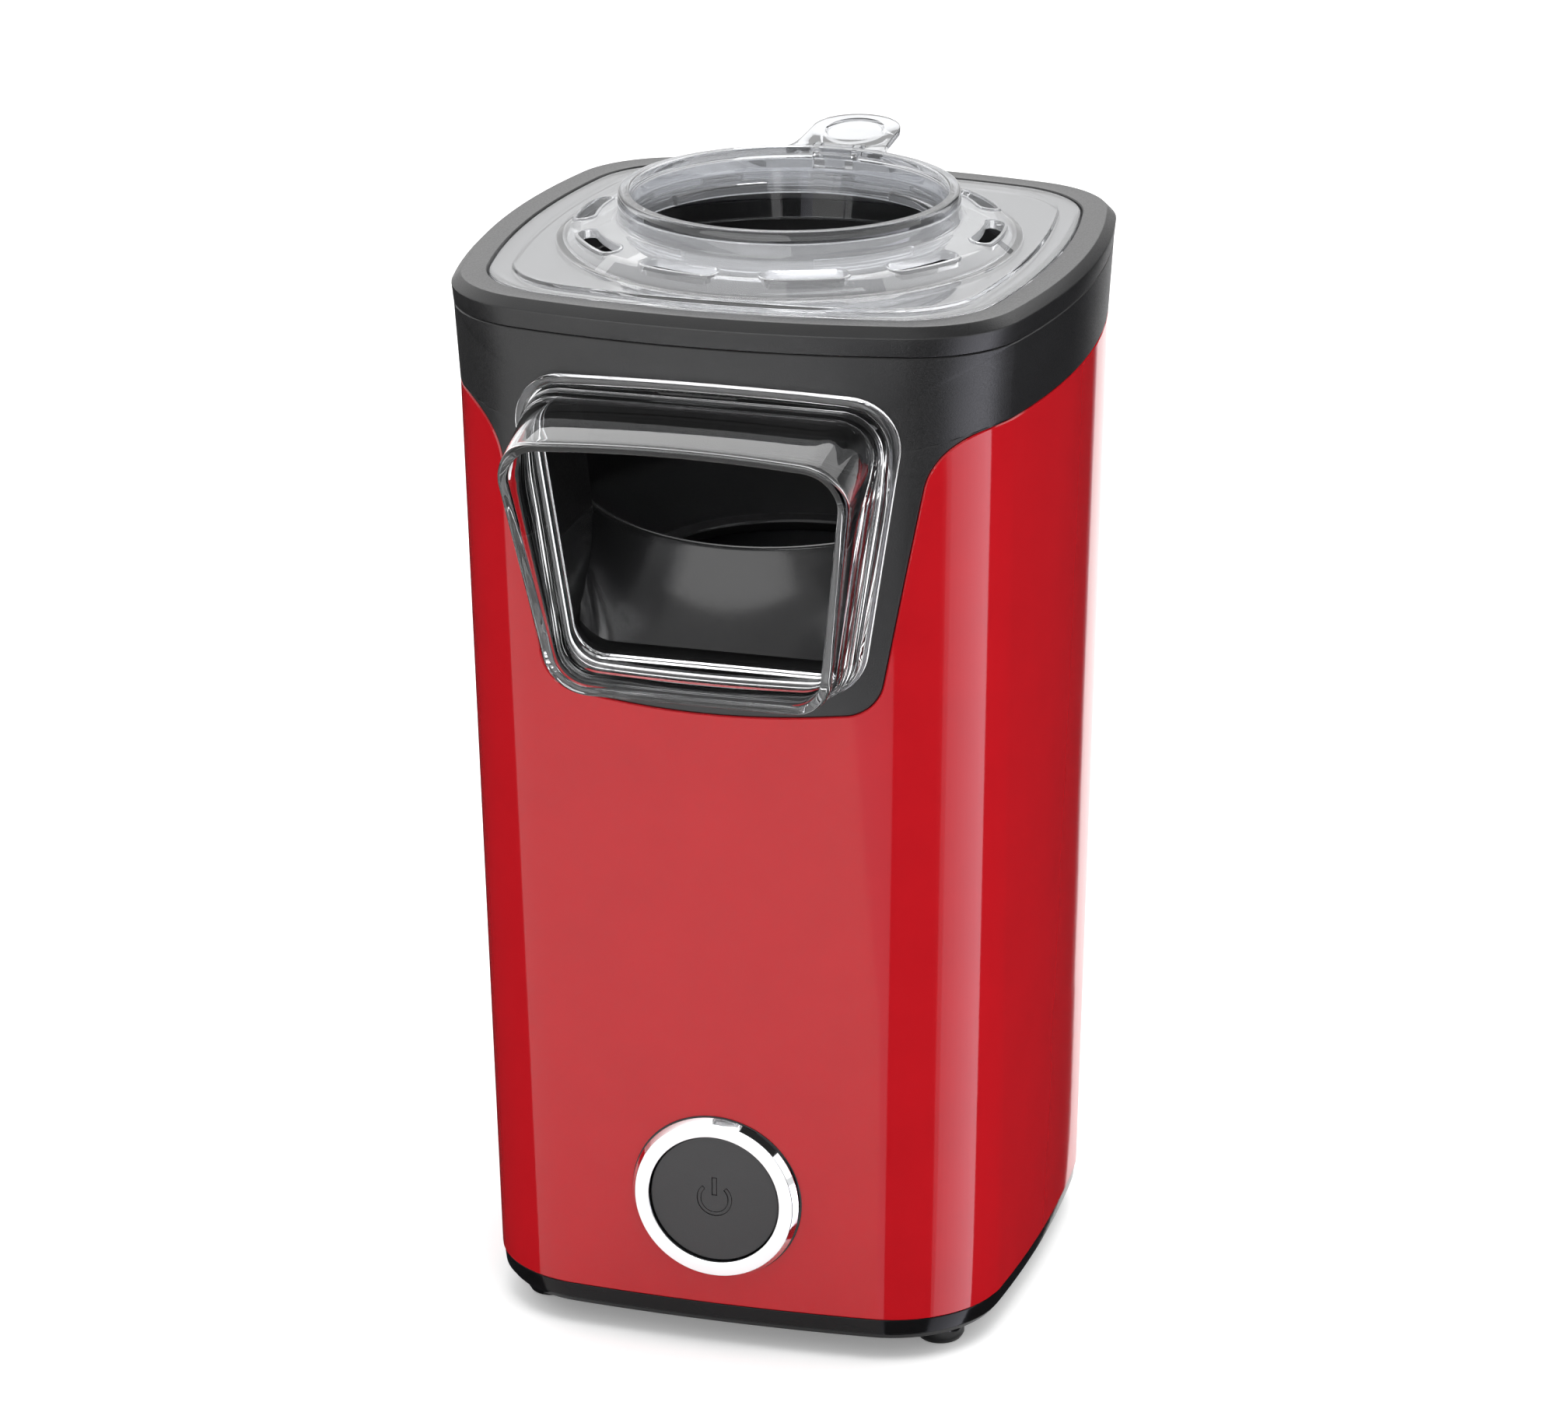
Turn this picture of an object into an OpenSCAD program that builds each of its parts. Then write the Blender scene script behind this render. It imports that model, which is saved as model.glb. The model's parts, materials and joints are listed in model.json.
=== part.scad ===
// Hot air popcorn maker: a tapered case that holds a fan, a heater and a popping cup,
// with a clear spout on the front and a clear lid with a filling ring on top.
// Millimetres, +Z up, spout towards -Y, feet on z = 0, origin under the middle of the whole machine.

/* [Body] */
// Width across the shell at its bottom edge
shell_w = 143.8; // [140:0.2:148]
// Width across the collar at its top seam
collar_w = 160; // [157:0.5:166]
// Height from the shell's bottom edge to the collar's top seam
body_h = 268; // [262:1:280]
// Corner radius of the rounded square section
corner_r = 31; // [26:1:34]
// Radius of the sides' outward bulge at the bottom edge
bulge_low = 500; // [400:10:800]
// Radius of the sides' outward bulge at the top seam
bulge_top = 242; // [220:2:400]
// Wall thickness of shell and collar
wall = 2.4; // [2:0.1:2.8]
// Depth of the black band below the seam
band_h = 20.5; // [18:0.5:23]
// Extra half width that the collar flares to at its seam
flare = 0.9; // [0:0.1:1.5]

/* [Bib] */
// Height of the bib's lowest edge above the shell's bottom edge
bib_low = 169.5; // [166:0.5:172]
// Width of the bib at its lowest edge, before its corners are rounded
bib_w = 87.6; // [86:0.2:92]
// Lean of the bib's sides from upright, in degrees
bib_lean = 10.9; // [10:0.1:12]
// Radius of the bib's lower corners
bib_corner = 11; // [8:1:13]
// Radius of the sweep from the bib's sides into the band
bib_sweep = 18; // [14:1:20]

/* [Spout] */
// Height of the spout opening's lowest edge above the shell's bottom edge
spout_low = 181.5; // [180:0.5:184]
// Height of the spout opening in the case
spout_h = 73; // [68:0.5:74]
// Width of the spout opening at its lowest edge
spout_w = 72.2; // [68:0.2:74]
// Lean of the spout's sides from upright, in degrees
spout_lean = 8.7; // [8:0.1:10]
// Wall thickness of the spout
spout_wall = 2.2; // [1.8:0.1:2.4]
// Width of the spout's flange beyond the opening
flange_w = 4.6; // [4:0.1:5.2]
// Distance from the body's axis to the lip's top edge
lip_reach = 108.6; // [104:0.2:114]
// How much further back the lip's bottom edge stands
lip_back = 15.8; // [10:0.2:20]
// Fall of the spout's top wall towards the lip
lip_fall = 7; // [4:0.5:9]

/* [Lid] */
// Width of the case's rim from the collar's side to the lid's edge
lid_rim = 8.2; // [7:0.1:10]
// Height of the bezel's upright face
bezel_face = 5.1; // [4.5:0.1:7]
// Chamfer on the bezel's top edge
bezel_chamfer = 2.5; // [1.5:0.1:3.5]
// Radius of the dome's foot on the lid
dome_r = 61.5; // [61:0.1:63]
// Height of the dome's shoulder above the lid's plate
dome_h = 4.8; // [4:0.1:6]
// Number of vent slots round the dome
slot_count = 10; // [6:1:12]
// Length of each vent slot
slot_len = 21; // [14:0.5:22]
// Width of each vent slot
slot_w = 5; // [3:0.2:5.4]
// Outer radius of the lid's neck
neck_r = 45.4; // [45:0.1:46.4]

/* [Filling ring] */
// Height of the ring's rim above the lid's neck
rim_h = 3.2; // [2.8:0.1:4]
// Height of the ring's sleeve inside the neck
sleeve_h = 9.4; // [9:0.1:11]
// Wall thickness of the neck and of the ring's sleeve
ring_wall = 1.8; // [1.6:0.1:2]
// Radius of the thumb tab's round end
tab_r = 12; // [11:0.1:13]
// Length of the thumb tab beyond its hinge
tab_len = 29.5; // [27:0.5:32]
// Thickness of the thumb tab
tab_t = 2; // [1.6:0.1:2.4]

/* [Button] */
// Height of the button above the shell's bottom edge
button_z = 32; // [30:0.5:40]
// Radius of the push button
button_r = 18.4; // [16:0.1:19]
// Width of the chrome ring's face
chrome_w = 3.6; // [3:0.1:4.5]
// How far the chrome ring stands out
chrome_out = 5; // [4:0.1:6]
// Travel of the button
button_travel = 3; // [2:0.1:3.5]

/* [Base] */
// Height of the base rim
base_h = 7; // [6:0.1:9]
// Height of the feet
foot_h = 6; // [5:0.1:8]
// Radius of the feet
foot_r = 6.5; // [5:0.1:7.5]

/* [Inside] */
// Outer radius of the popping cup
cup_r = 43; // [42:0.5:44]
// Depth of the popping cup
cup_h = 52; // [46:1:58]
// Outer radius of the motor
motor_r = 18; // [16:0.5:20]
// Height of the motor
motor_h = 36; // [30:1:40]
// Radius of the fan
fan_r = 43; // [38:0.5:44]
// Number of fan blades
blade_count = 9; // [6:1:12]
// Radius of the motor shaft
shaft_r = 1.5; // [1.2:0.1:2]
// Radius of the heating coil's turns
coil_r = 33; // [28:0.5:36]
// Number of the heating coil's turns
coil_turns = 7; // [5:1:8]

/* [Hidden] */
$fn = 64;
// Clearance between still pieces, between moving pieces and round a shaft
gap = 0.15;
move_gap = 0.4;
run_gap = 0.05;
// Heights of the case
z_shell = foot_h + base_h;
z_seam = z_shell + body_h;
z_band = z_seam - band_h;
z_bib = z_shell + bib_low;
bib_rise = 2;
sections_side = 8;
sections_corner = 8;
// Bezel and lid
bezel_out = 0.4;
z_top = z_seam + bezel_face + bezel_chamfer;
ledge_t = 2.4;
z_ledge = z_top - 3;
hood_r = 62.6;
hood_wall = 2;
ledge_hole_r = hood_r - hood_wall + 0.2;
lid_w = collar_w - 2 * lid_rim;
lid_gap = 0.5;
lid_edge_t = 2.7;
lid_step = 6;
lid_step_t = 1;
z_lid = z_ledge + gap;
z_plate = z_lid + lid_edge_t + lid_step_t;
z_shoulder = z_plate + dome_h;
z_neck = z_shoulder + 4.6;
skirt_r = hood_r - hood_wall - move_gap;
skirt_h = 8;
dome_t = 2;
// Filling ring and thumb tab
sleeve_r = neck_r - ring_wall - move_gap;
rim_r = neck_r - 0.6;
rim_in = sleeve_r - ring_wall + 0.6;
z_rim = z_neck + gap;
z_ring_top = z_rim + rim_h;
hinge_y = rim_r + 2.3;
hinge_z = z_ring_top - 1.7;
pin_r = 0.9;
knuckle_r = 1.7;
knuckle_half = 4.2;
ear_t = 1.7;
thumb_r = tab_r - 4;
// Spout, measured on the case's front
z_spout = z_shell + spout_low;
spout_corner = 9;
spout_rise = 1.4;
lip_drop = 2;
z_lip_low = z_spout - spout_wall - lip_drop;
z_lip_high = z_spout + spout_h + spout_wall - lip_fall;
lip_narrow = 1.9;
flange_t = 2.6;
// Hood
z_mouth = z_spout + 4.5;
z_crest = z_spout + 28;
crest_slope = 0.15;
mouth_r = cup_r - 1;
z_cup = z_mouth - 4;
deck_t = 2.2;
funnel_h = 12;
channel_t = 2;
channel_front = case_half(z_spout) - wall - 3.6;
spout_back = channel_front + 2 * gap;
// Air duct, heater, fan and motor
duct_t = 1.2;
air_gap = 5.2;
fan_gap = 3.5;
duct_r = max(cup_r + air_gap, fan_r + fan_gap + duct_t);
cup_t = 1.2;
floor_t = 2.5;
z_floor = foot_h + floor_t;
z_motor = z_floor + 12;
bracket_t = 1.6;
z_bracket = z_motor + motor_h;
z_duct = z_bracket + bracket_t;
post_at = 40;
damper_h = 5;
z_fan = z_duct + 4;
fan_h = 15;
hub_r = 9;
coil_wire = 0.7;
coil_pitch = 5;
z_heater = z_fan + fan_h + 14;
mica_t = 0.8;
mica_h = coil_pitch * coil_turns + 8;
// Button, along the case's front
z_button = z_shell + button_z;
chrome_r = button_r + move_gap + chrome_w;
chrome_spread = 0.9;
chrome_sleeve = 1.8;
button_sink = 2;
button_t = 8;
stem_r = 4;
housing_t = 2;
spring_h = 10;
spring_r = 8;
spring_wire = 0.5;
spring_turns = 4;
// Fixings
screw_r = 1.5;
screw_head_r = 3;
case_post_x = 59;
case_post_y = 24;
foot_x = 55;
foot_y = 48;
gland_z = z_shell + 30;
gland_r = 5.5;
board_y = 50;
// The machine's axis stands back from the origin, because the spout reaches forward
back_reach = case_half(z_seam + bezel_face) + bezel_out;
axis_y = (lip_reach - back_reach) / 2;

// Shapes shared by several pieces

function mix(a, b, t) = a + (b - a) * t;

function turned(p, a) = [p[0] * cos(a) - p[1] * sin(a), p[0] * sin(a) + p[1] * cos(a)];

function arc(centre, r, a0, a1, n = 6) =
    [for (i = [0 : n]) centre + r * [cos(mix(a0, a1, i / n)), sin(mix(a0, a1, i / n))]];

// Rounded square of half width a, with corners of radius r and sides that bulge with radius b
function rounded_square(a, r, b) =
    let (
        k = b - a,
        c = (sqrt(2 * pow(b - r, 2) - k * k) - k) / 2,
        lean = atan2(c, k + c),
        side = arc([0, k], b, 270 - lean, 270 + lean, sections_side),
        bend = arc([c, -c], r, 270 + lean, 360 - lean, sections_corner)
    )
    [for (q = [0 : 3]) for (p = concat(side, [for (i = [1 : sections_corner - 1]) bend[i]]))
        turned(p, 90 * q)];

// The case's section at height z, grown outwards by g and widened by w on each side
function case_t(z) = (z - z_shell) / body_h;

function case_half(z) = mix(shell_w, collar_w, case_t(z)) / 2;

function case_ring(z, g = 0, w = 0) =
    let (
        low = rounded_square(shell_w / 2 + g, corner_r + g, bulge_low + g),
        high = rounded_square(collar_w / 2 + g, corner_r + g, bulge_top + g)
    )
    [for (i = [0 : len(low) - 1])
        let (p = mix(low[i], high[i], case_t(z)))
        [p[0] * (1 + w / case_half(z)), p[1], z]];

// Solid through rings of equal point counts
module skin(rings) {
    n = len(rings[0]);
    m = len(rings);
    low = [for (j = [0 : n - 1]) j];
    high = [for (j = [n - 1 : -1 : 0]) (m - 1) * n + j];
    sides = [for (i = [0 : m - 2]) for (j = [0 : n - 1])
        let (a = i * n + j, b = i * n + (j + 1) % n)
        each [[a, a + n, b + n], [a, b + n, b]]];
    polyhedron([for (ring = rings) each ring], concat([low], sides, [high]));
}

module case_solid(z0, z1, g = 0) {
    skin([case_ring(z0, g), case_ring(z1, g)]);
}

// Right half of the border between black and red, in x and z, grown outwards by g
function bib_side(z) = bib_w / 2 + (z - z_bib) * tan(bib_lean);

function bib_border(g) =
    let (
        zc = z_bib + bib_rise + bib_corner,
        xc = bib_side(zc) - bib_corner / cos(bib_lean),
        zs = z_band - bib_sweep,
        xs = bib_side(zs) + bib_sweep / cos(bib_lean)
    )
    concat(
        [for (i = [0 : 3]) [xc * i / 4, z_bib - g + bib_rise * pow(i / 4, 2)]],
        arc([xc, zc], bib_corner + g, -84, -bib_lean),
        arc([xs, zs], bib_sweep - g, 180 - bib_lean, 90),
        [[120, z_band - g]]
    );

// Everything above the border: the bib in front, the band all round
module black_zone(g = 0) {
    right = bib_border(g);
    left = [for (i = [len(right) - 1 : -1 : 1]) [-right[i][0], right[i][1]]];
    rotate([90, 0, 0])
        linear_extrude(120)
            polygon(concat(right, [[120, z_seam + 40], [-120, z_seam + 40]], left));
    translate([-120, -0.5, z_band - g])
        cube([240, 120.5, band_h + 40 + g]);
}

// Outline of the spout in x and z: low edge z0, high edge z1, width w at the low edge
function spout_outline(z0, z1, w, r) =
    let (
        s = tan(spout_lean),
        zc = z1 - spout_rise - r,
        x0 = w / 2 + r * s - r / cos(spout_lean),
        x1 = w / 2 + (zc - z0) * s - r / cos(spout_lean),
        right = concat(arc([x0, z0 + r], r, -90, -spout_lean), arc([x1, zc], r, -spout_lean, 86)),
        top = [for (i = [-1 : 1]) [-x1 * i / 2, z1 - spout_rise * pow(i / 2, 2)]],
        left = [for (i = [len(right) - 1 : -1 : 0]) [-right[i][0], right[i][1]]]
    )
    concat(right, top, left);

// The spout's opening in the case, grown outwards by g
function opening(g = 0) =
    spout_outline(z_spout - g, z_spout + spout_h + g, spout_w + 2 * g, spout_corner + g);

function lip_outline(g = 0) =
    spout_outline(z_lip_low - g, z_lip_high + g, spout_w + 2 * (spout_wall - lip_narrow + g),
        spout_corner + spout_wall + g);

function lip_y(z) = lip_back * (z_lip_high - z) / (z_lip_high - z_lip_low) - lip_reach;

function upright_ring(outline, y) = [for (p = outline) [p[0], y, p[1]]];

function lip_ring(outline) = [for (p = outline) [p[0], lip_y(p[1]), p[1]]];

// The spout's hollow grown by g, which runs straight from its rear edge at t = 0 to its lip at t = 1
function spout_ring(t, g = 0) =
    let (rear = upright_ring(opening(g), -spout_back), front = lip_ring(lip_outline(g - spout_wall)))
    [for (i = [0 : len(rear) - 1]) mix(rear[i], front[i], t)];

module opening_prism(g, y_back, y_front) {
    translate([0, -y_back, 0])
        rotate([90, 0, 0])
            linear_extrude(y_front - y_back)
                polygon(opening(g));
}

module tube(r_out, r_in, h) {
    difference() {
        cylinder(r = r_out, h = h);
        translate([0, 0, -1])
            cylinder(r = r_in, h = h + 2);
    }
}

// One unbroken round wire wound upwards from z = 0
module winding(r, wire, pitch, turns, per_turn) {
    sides = 6;
    skin([for (i = [0 : turns * per_turn])
        let (a = 360 * i / per_turn, z = pitch * i / per_turn)
        [for (j = [0 : sides - 1])
            let (b = 360 * j / sides, d = r + wire * sin(b))
            [d * cos(a), d * sin(a), z + wire * cos(b)]]]);
}

// How far the leaning, bulging wall stands back within radius r of the button's axis
function button_seat(r) =
    let (
        lean = (collar_w - shell_w) / 2 / body_h,
        b = mix(bulge_low, bulge_top, case_t(z_button))
    )
    lean * b < r ? lean * lean * b / 2 + r * r / (2 * b) : lean * r;

// Places children on the button's axis, turned so that +Z runs into the case
module at_button(y = 0) {
    translate([0, y - case_half(z_button), z_button])
        rotate([-90, 0, 0])
            children();
}

module at_corners(x, y) {
    for (sx = [-1, 1], sy = [-1, 1])
        translate([sx * x, sy * y, 0])
            children();
}

// Case

module shell() {
    color("#b21820") {
        difference() {
            case_solid(z_shell, z_seam);
            case_solid(z_shell - 1, z_seam + 1, -wall);
            black_zone(gap);
            at_button(-6)
                cylinder(r = button_r + move_gap + chrome_sleeve + gap, h = 20);
            translate([0, case_half(gland_z) - 10, gland_z])
                rotate([-90, 0, 0])
                    cylinder(r = gland_r + gap, h = 20);
        }
        difference() {
            intersection() {
                union() {
                    at_corners(case_post_x, case_post_y)
                        translate([0, 0, z_shell])
                            cylinder(r = 4.5, h = 22);
                    for (s = [-1, 1], sy = [-1, 1])
                        translate([s * (case_post_x + 10) - 10, sy * case_post_y - 1.2, z_shell])
                            cube([20, 2.4, 22]);
                }
                case_solid(z_shell - 1, z_seam, -wall / 2);
            }
            at_corners(case_post_x, case_post_y)
                translate([0, 0, z_shell - 1])
                    cylinder(r = screw_r + run_gap, h = 19);
        }
    }
}

module collar() {
    color("#37383a") {
        intersection() {
            difference() {
                skin([case_ring(z_bib - 10), case_ring(z_band), case_ring(z_seam, 0, flare)]);
                skin([case_ring(z_bib - 11, -wall), case_ring(z_band, -wall),
                    case_ring(z_seam + 1, -wall, flare)]);
                skin([spout_ring(-0.6, spout_wall + 3 * gap), spout_ring(1.1, spout_wall + 3 * gap)]);
            }
            black_zone();
        }
        collar_tongue();
    }
}

// Rim that holds the collar inside the shell's top edge
module collar_tongue() {
    difference() {
        union() {
            case_solid(z_band - 6, z_band + 4, -wall - gap);
            case_solid(z_band + 0.5, z_band + 4.5, 0.5 - wall);
        }
        case_solid(z_band - 7, z_band + 6, -wall - 1.8);
        translate([-61, -100, z_band - 10])
            cube([122, 100, 30]);
    }
}

module bezel() {
    color("#333436")
        difference() {
            union() {
                skin([case_ring(z_seam + gap, 0, flare), case_ring(z_seam + bezel_face, bezel_out, flare),
                    case_ring(z_top, bezel_out - bezel_chamfer, flare)]);
                case_solid(z_seam - 5, z_seam + 1, -wall - gap);
            }
            translate([0, 0, z_ledge])
                linear_extrude(20)
                    polygon(rounded_square(lid_w / 2 + lid_gap, corner_r - 3, bulge_top));
            case_solid(z_seam - 6, z_ledge - ledge_t, -wall - 2);
            translate([0, 0, z_seam - 10])
                cylinder(r = ledge_hole_r, h = 40);
        }
}

module base() {
    color("#1b1b1d")
        difference() {
            union() {
                skin([case_ring(z_shell - base_h, -2), case_ring(z_shell - gap, -0.3)]);
                case_solid(z_shell - 1, z_shell + 5, -wall - gap);
                at_corners(post_at, post_at)
                    translate([0, 0, foot_h])
                        cylinder(r = 5, h = z_bracket - damper_h - foot_h);
                for (s = [-1, 1])
                    translate([16 * s, board_y, foot_h])
                        cylinder(r = 3, h = z_motor - foot_h);
            }
            difference() {
                case_solid(z_floor, z_shell + 6, -wall - 2);
                at_corners(post_at, post_at)
                    cylinder(r = 5, h = z_bracket);
                for (s = [-1, 1])
                    translate([16 * s, board_y, 0])
                        cylinder(r = 3, h = z_bracket);
                at_corners(case_post_x, case_post_y)
                    cylinder(r = 5, h = z_shell - gap);
            }
            at_corners(case_post_x, case_post_y)
                translate([-14, -6, z_shell - gap])
                    cube([28, 12, 20]);
            at_corners(case_post_x, case_post_y) {
                translate([0, 0, foot_h - 1])
                    cylinder(r = screw_r + run_gap, h = 30);
                translate([0, 0, foot_h - 1])
                    cylinder(r = screw_head_r + gap, h = 3.2);
            }
            at_corners(post_at, post_at)
                translate([0, 0, z_bracket - damper_h - 14])
                    cylinder(r = screw_r + run_gap, h = 20);
            for (i = [-4 : 4])
                translate([9 * i - 1.6, -26, foot_h - 1])
                    cube([3.2, 52, floor_t + 2]);
        }
}

module feet() {
    color("#151516")
        at_corners(foot_x, foot_y)
            rotate_extrude()
                polygon([[0, 0], [foot_r - 0.8, 0], [foot_r, 0.8], [foot_r, foot_h - gap / 3],
                    [0, foot_h - gap / 3]]);
}

module base_screws() {
    color("#9a9c9e")
        at_corners(case_post_x, case_post_y) {
            translate([0, 0, foot_h])
                cylinder(r = screw_head_r, h = 2.1);
            translate([0, 0, foot_h + 2])
                cylinder(r = screw_r, h = z_shell + 15 - foot_h);
        }
}

// Spout and hood

module chute() {
    color([0.82, 0.85, 0.88, 0.45])
        difference() {
            union() {
                skin([spout_ring(0, spout_wall), spout_ring(1, spout_wall)]);
                intersection() {
                    opening_prism(flange_w, 60, 100);
                    difference() {
                        case_solid(z_bib, z_seam, flange_t);
                        case_solid(z_bib - 1, z_seam + 1, gap);
                    }
                }
            }
            skin([spout_ring(-0.1), spout_ring(1.1)]);
        }
}

// Space above the ramp, which falls from a crest in the hood's front wall to the spout
module above_ramp() {
    y_crest = hood_r - hood_wall;
    y_foot = channel_front - 2;
    z_low = z_spout - 0.6;
    translate([-60, 0, 0])
        rotate([90, 0, 90])
            linear_extrude(120)
                polygon([[-channel_front - 10, z_low], [-y_foot, z_low], [-y_foot, z_spout + 2.5],
                    [-y_crest, z_crest], [-10, z_crest + crest_slope * (y_crest - 10)],
                    [-10, z_seam + 20], [-channel_front - 10, z_seam + 20]]);
}

module hood() {
    wall_in = hood_r - hood_wall;
    color("#222324")
        difference() {
            union() {
                translate([0, 0, z_cup + gap])
                    tube(hood_r, wall_in, z_ledge - ledge_t - gap - z_cup - gap);
                rotate_extrude()
                    polygon([[mouth_r, z_cup + gap], [mouth_r + 2, z_cup + gap],
                        [mouth_r + 2, z_mouth - deck_t], [hood_r - 1, z_mouth + funnel_h - deck_t],
                        [hood_r - 1, z_mouth + funnel_h], [mouth_r + 2, z_mouth], [mouth_r, z_mouth]]);
                difference() {
                    opening_prism(channel_t, mouth_r, channel_front);
                    translate([0, 0, z_bib])
                        cylinder(r = hood_r - hood_wall / 2, h = 150);
                }
            }
            intersection() {
                opening_prism(0, mouth_r - 20, channel_front + 1);
                above_ramp();
            }
        }
}

// Button and switch

module button_ring() {
    color("#d9dbdd")
        difference() {
            union() {
                difference() {
                    at_button(-chrome_out)
                        cylinder(r1 = chrome_r, r2 = chrome_r + chrome_spread, h = chrome_out + 2);
                    case_solid(z_shell - 5, z_shell + body_h / 2, gap / 2);
                }
                at_button(-chrome_out + 1)
                    cylinder(r = button_r + move_gap + chrome_sleeve, h = chrome_out + wall + 5);
            }
            at_button(-chrome_out - 1)
                cylinder(r = button_r + move_gap, h = 30);
        }
}

module button() {
    color("#2a2b2d")
        difference() {
            at_button(button_sink - chrome_out) {
                cylinder(r = button_r, h = button_t);
                cylinder(r = stem_r, h = button_t + spring_h + housing_t + 0.2);
            }
            at_button(button_sink - chrome_out - 1)
                power_mark(1.4);
        }
}

// A broken ring with an upright bar in its gap
module power_mark(h) {
    rotate([0, 0, -60])
        rotate_extrude(angle = 300)
            translate([3.8, 0])
                square([0.8, h]);
    translate([-0.4, -6.2, 0])
        cube([0.8, 5, h]);
}

module button_housing() {
    y_back = button_sink - chrome_out + button_t + spring_h;
    bore = button_r + move_gap + chrome_sleeve + gap;
    flange_r = bore + 5;
    y_flange = wall + gap + button_seat(flange_r);
    color("#303133")
        difference() {
            union() {
                at_button(y_flange)
                    cylinder(r = flange_r, h = 2);
                at_button(y_flange)
                    cylinder(r = bore + 2, h = y_back + housing_t - y_flange);
            }
            at_button(y_flange - 1)
                cylinder(r = bore, h = y_back - y_flange + 1);
            at_button(y_flange)
                cylinder(r = stem_r + move_gap, h = 40);
        }
}

module button_spring() {
    color("#b5b8ba")
        at_button(button_sink - chrome_out + button_t + spring_wire + gap)
            winding(spring_r, spring_wire, (spring_h - 2 * spring_wire - 2 * gap) / spring_turns,
                spring_turns, 24);
}

module switch() {
    y_front = button_sink - chrome_out + button_t + spring_h + housing_t + gap;
    color("#e4e2da")
        difference() {
            at_button(y_front) {
                translate([-10, -8, 0])
                    cube([20, 16, 16]);
                for (x = [-6, 0, 6])
                    translate([x - 1.2, -0.4, 15])
                        cube([2.4, 0.8, 8]);
            }
            at_button(y_front - 1)
                cylinder(r = stem_r + move_gap, h = button_travel + 3);
        }
}

module cord_gland() {
    color("#1b1b1d")
        translate([0, case_half(gland_z), gland_z])
            rotate([90, 0, 0])
                difference() {
                    union() {
                        translate([0, 0, -2.5])
                            cylinder(r = gland_r + 2.5, h = 2.1);
                        translate([0, 0, -2])
                            cylinder(r = gland_r, h = wall + 8);
                        translate([0, 0, wall + 0.4])
                            cylinder(r = gland_r + 2, h = 2.5);
                    }
                    translate([0, 0, -5])
                        cylinder(r = 3.4, h = 30);
                }
}

// Heater and blower

module chamber() {
    z0 = z_cup - cup_h;
    color("#b9bcbf")
        difference() {
            rotate_extrude()
                polygon([[0, z0 + 5], [cup_r - 9, z0], [cup_r - 4, z0], [cup_r, z0 + 4],
                    [cup_r, z_cup - cup_t], [duct_r + 1, z_cup - cup_t], [duct_r + 1, z_cup],
                    [cup_r - cup_t, z_cup], [cup_r - cup_t, z0 + 4.5], [cup_r - 4.4, z0 + cup_t],
                    [cup_r - 9, z0 + cup_t], [0, z0 + 5 + cup_t]]);
            for (i = [0 : 23])
                rotate([0, 0, 15 * i])
                    translate([cup_r - 4, -1, z0 + 7])
                        cube([8, 2, 10]);
        }
}

module duct() {
    color("#a5a8ab")
        translate([0, 0, z_duct + gap / 3])
            tube(duct_r, duct_r - duct_t, z_cup - cup_t - z_duct - gap);
}

module heater_frame() {
    r = duct_r - duct_t - gap;
    color("#cfc6ae")
        difference() {
            for (a = [0, 90])
                rotate([0, 0, a])
                    translate([-r, -mica_t / 2, z_heater])
                        cube([2 * r, mica_t, mica_h]);
            for (i = [0 : coil_turns], q = [0 : 3])
                rotate([0, 0, 90 * q])
                    translate([coil_r - 1.2, -1, z_heater + 4 + coil_pitch * (i + q / 4) - 1.2])
                        cube([2.4, 2, 2.4]);
        }
}

module heater_coil() {
    color("#8d8378")
        translate([0, 0, z_heater + 4])
            winding(coil_r, coil_wire, coil_pitch, coil_turns, 24);
}

module thermostat() {
    color("#c9b48a")
        translate([0, duct_r + gap / 3, z_cup - 34])
            rotate([-90, 0, 0]) {
                cylinder(r = 8, h = 5);
                cylinder(r = 5, h = 7);
                for (s = [-1, 1])
                    translate([3 * s - 1, -0.4, 6])
                        cube([2, 0.8, 7]);
            }
}

module thermal_fuse() {
    color("#c8cbd0")
        rotate([0, 0, 120])
            translate([duct_r + 2.1, 0, z_cup - 42]) {
                cylinder(r = 2, h = 12);
                translate([0, 0, -8])
                    cylinder(r = 0.5, h = 28);
            }
}

module fan() {
    color("#d8d8d4")
        difference() {
            translate([0, 0, z_fan]) {
                cylinder(r = fan_r, h = 1.5);
                cylinder(r = hub_r, h = fan_h);
                for (i = [0 : blade_count - 1])
                    rotate([0, 0, 360 * i / blade_count])
                        translate([hub_r - 1, -0.7, 0])
                            cube([fan_r - hub_r, 1.4, fan_h]);
            }
            translate([0, 0, z_fan - 1])
                cylinder(r = shaft_r, h = fan_h + 2);
        }
}

module motor_shaft() {
    color("#b0b3b6")
        translate([0, 0, z_motor + 3])
            cylinder(r = shaft_r, h = z_fan + fan_h + 2 - z_motor - 3);
}

module motor() {
    color("#8f9396")
        difference() {
            union() {
                translate([0, 0, z_motor])
                    cylinder(r = motor_r, h = motor_h - gap / 3);
                translate([0, 0, z_motor + 1])
                    cylinder(r = 8, h = motor_h + 1);
            }
            translate([0, 0, z_motor + 2.5])
                cylinder(r = shaft_r + run_gap, h = motor_h + 20);
        }
}

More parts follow.
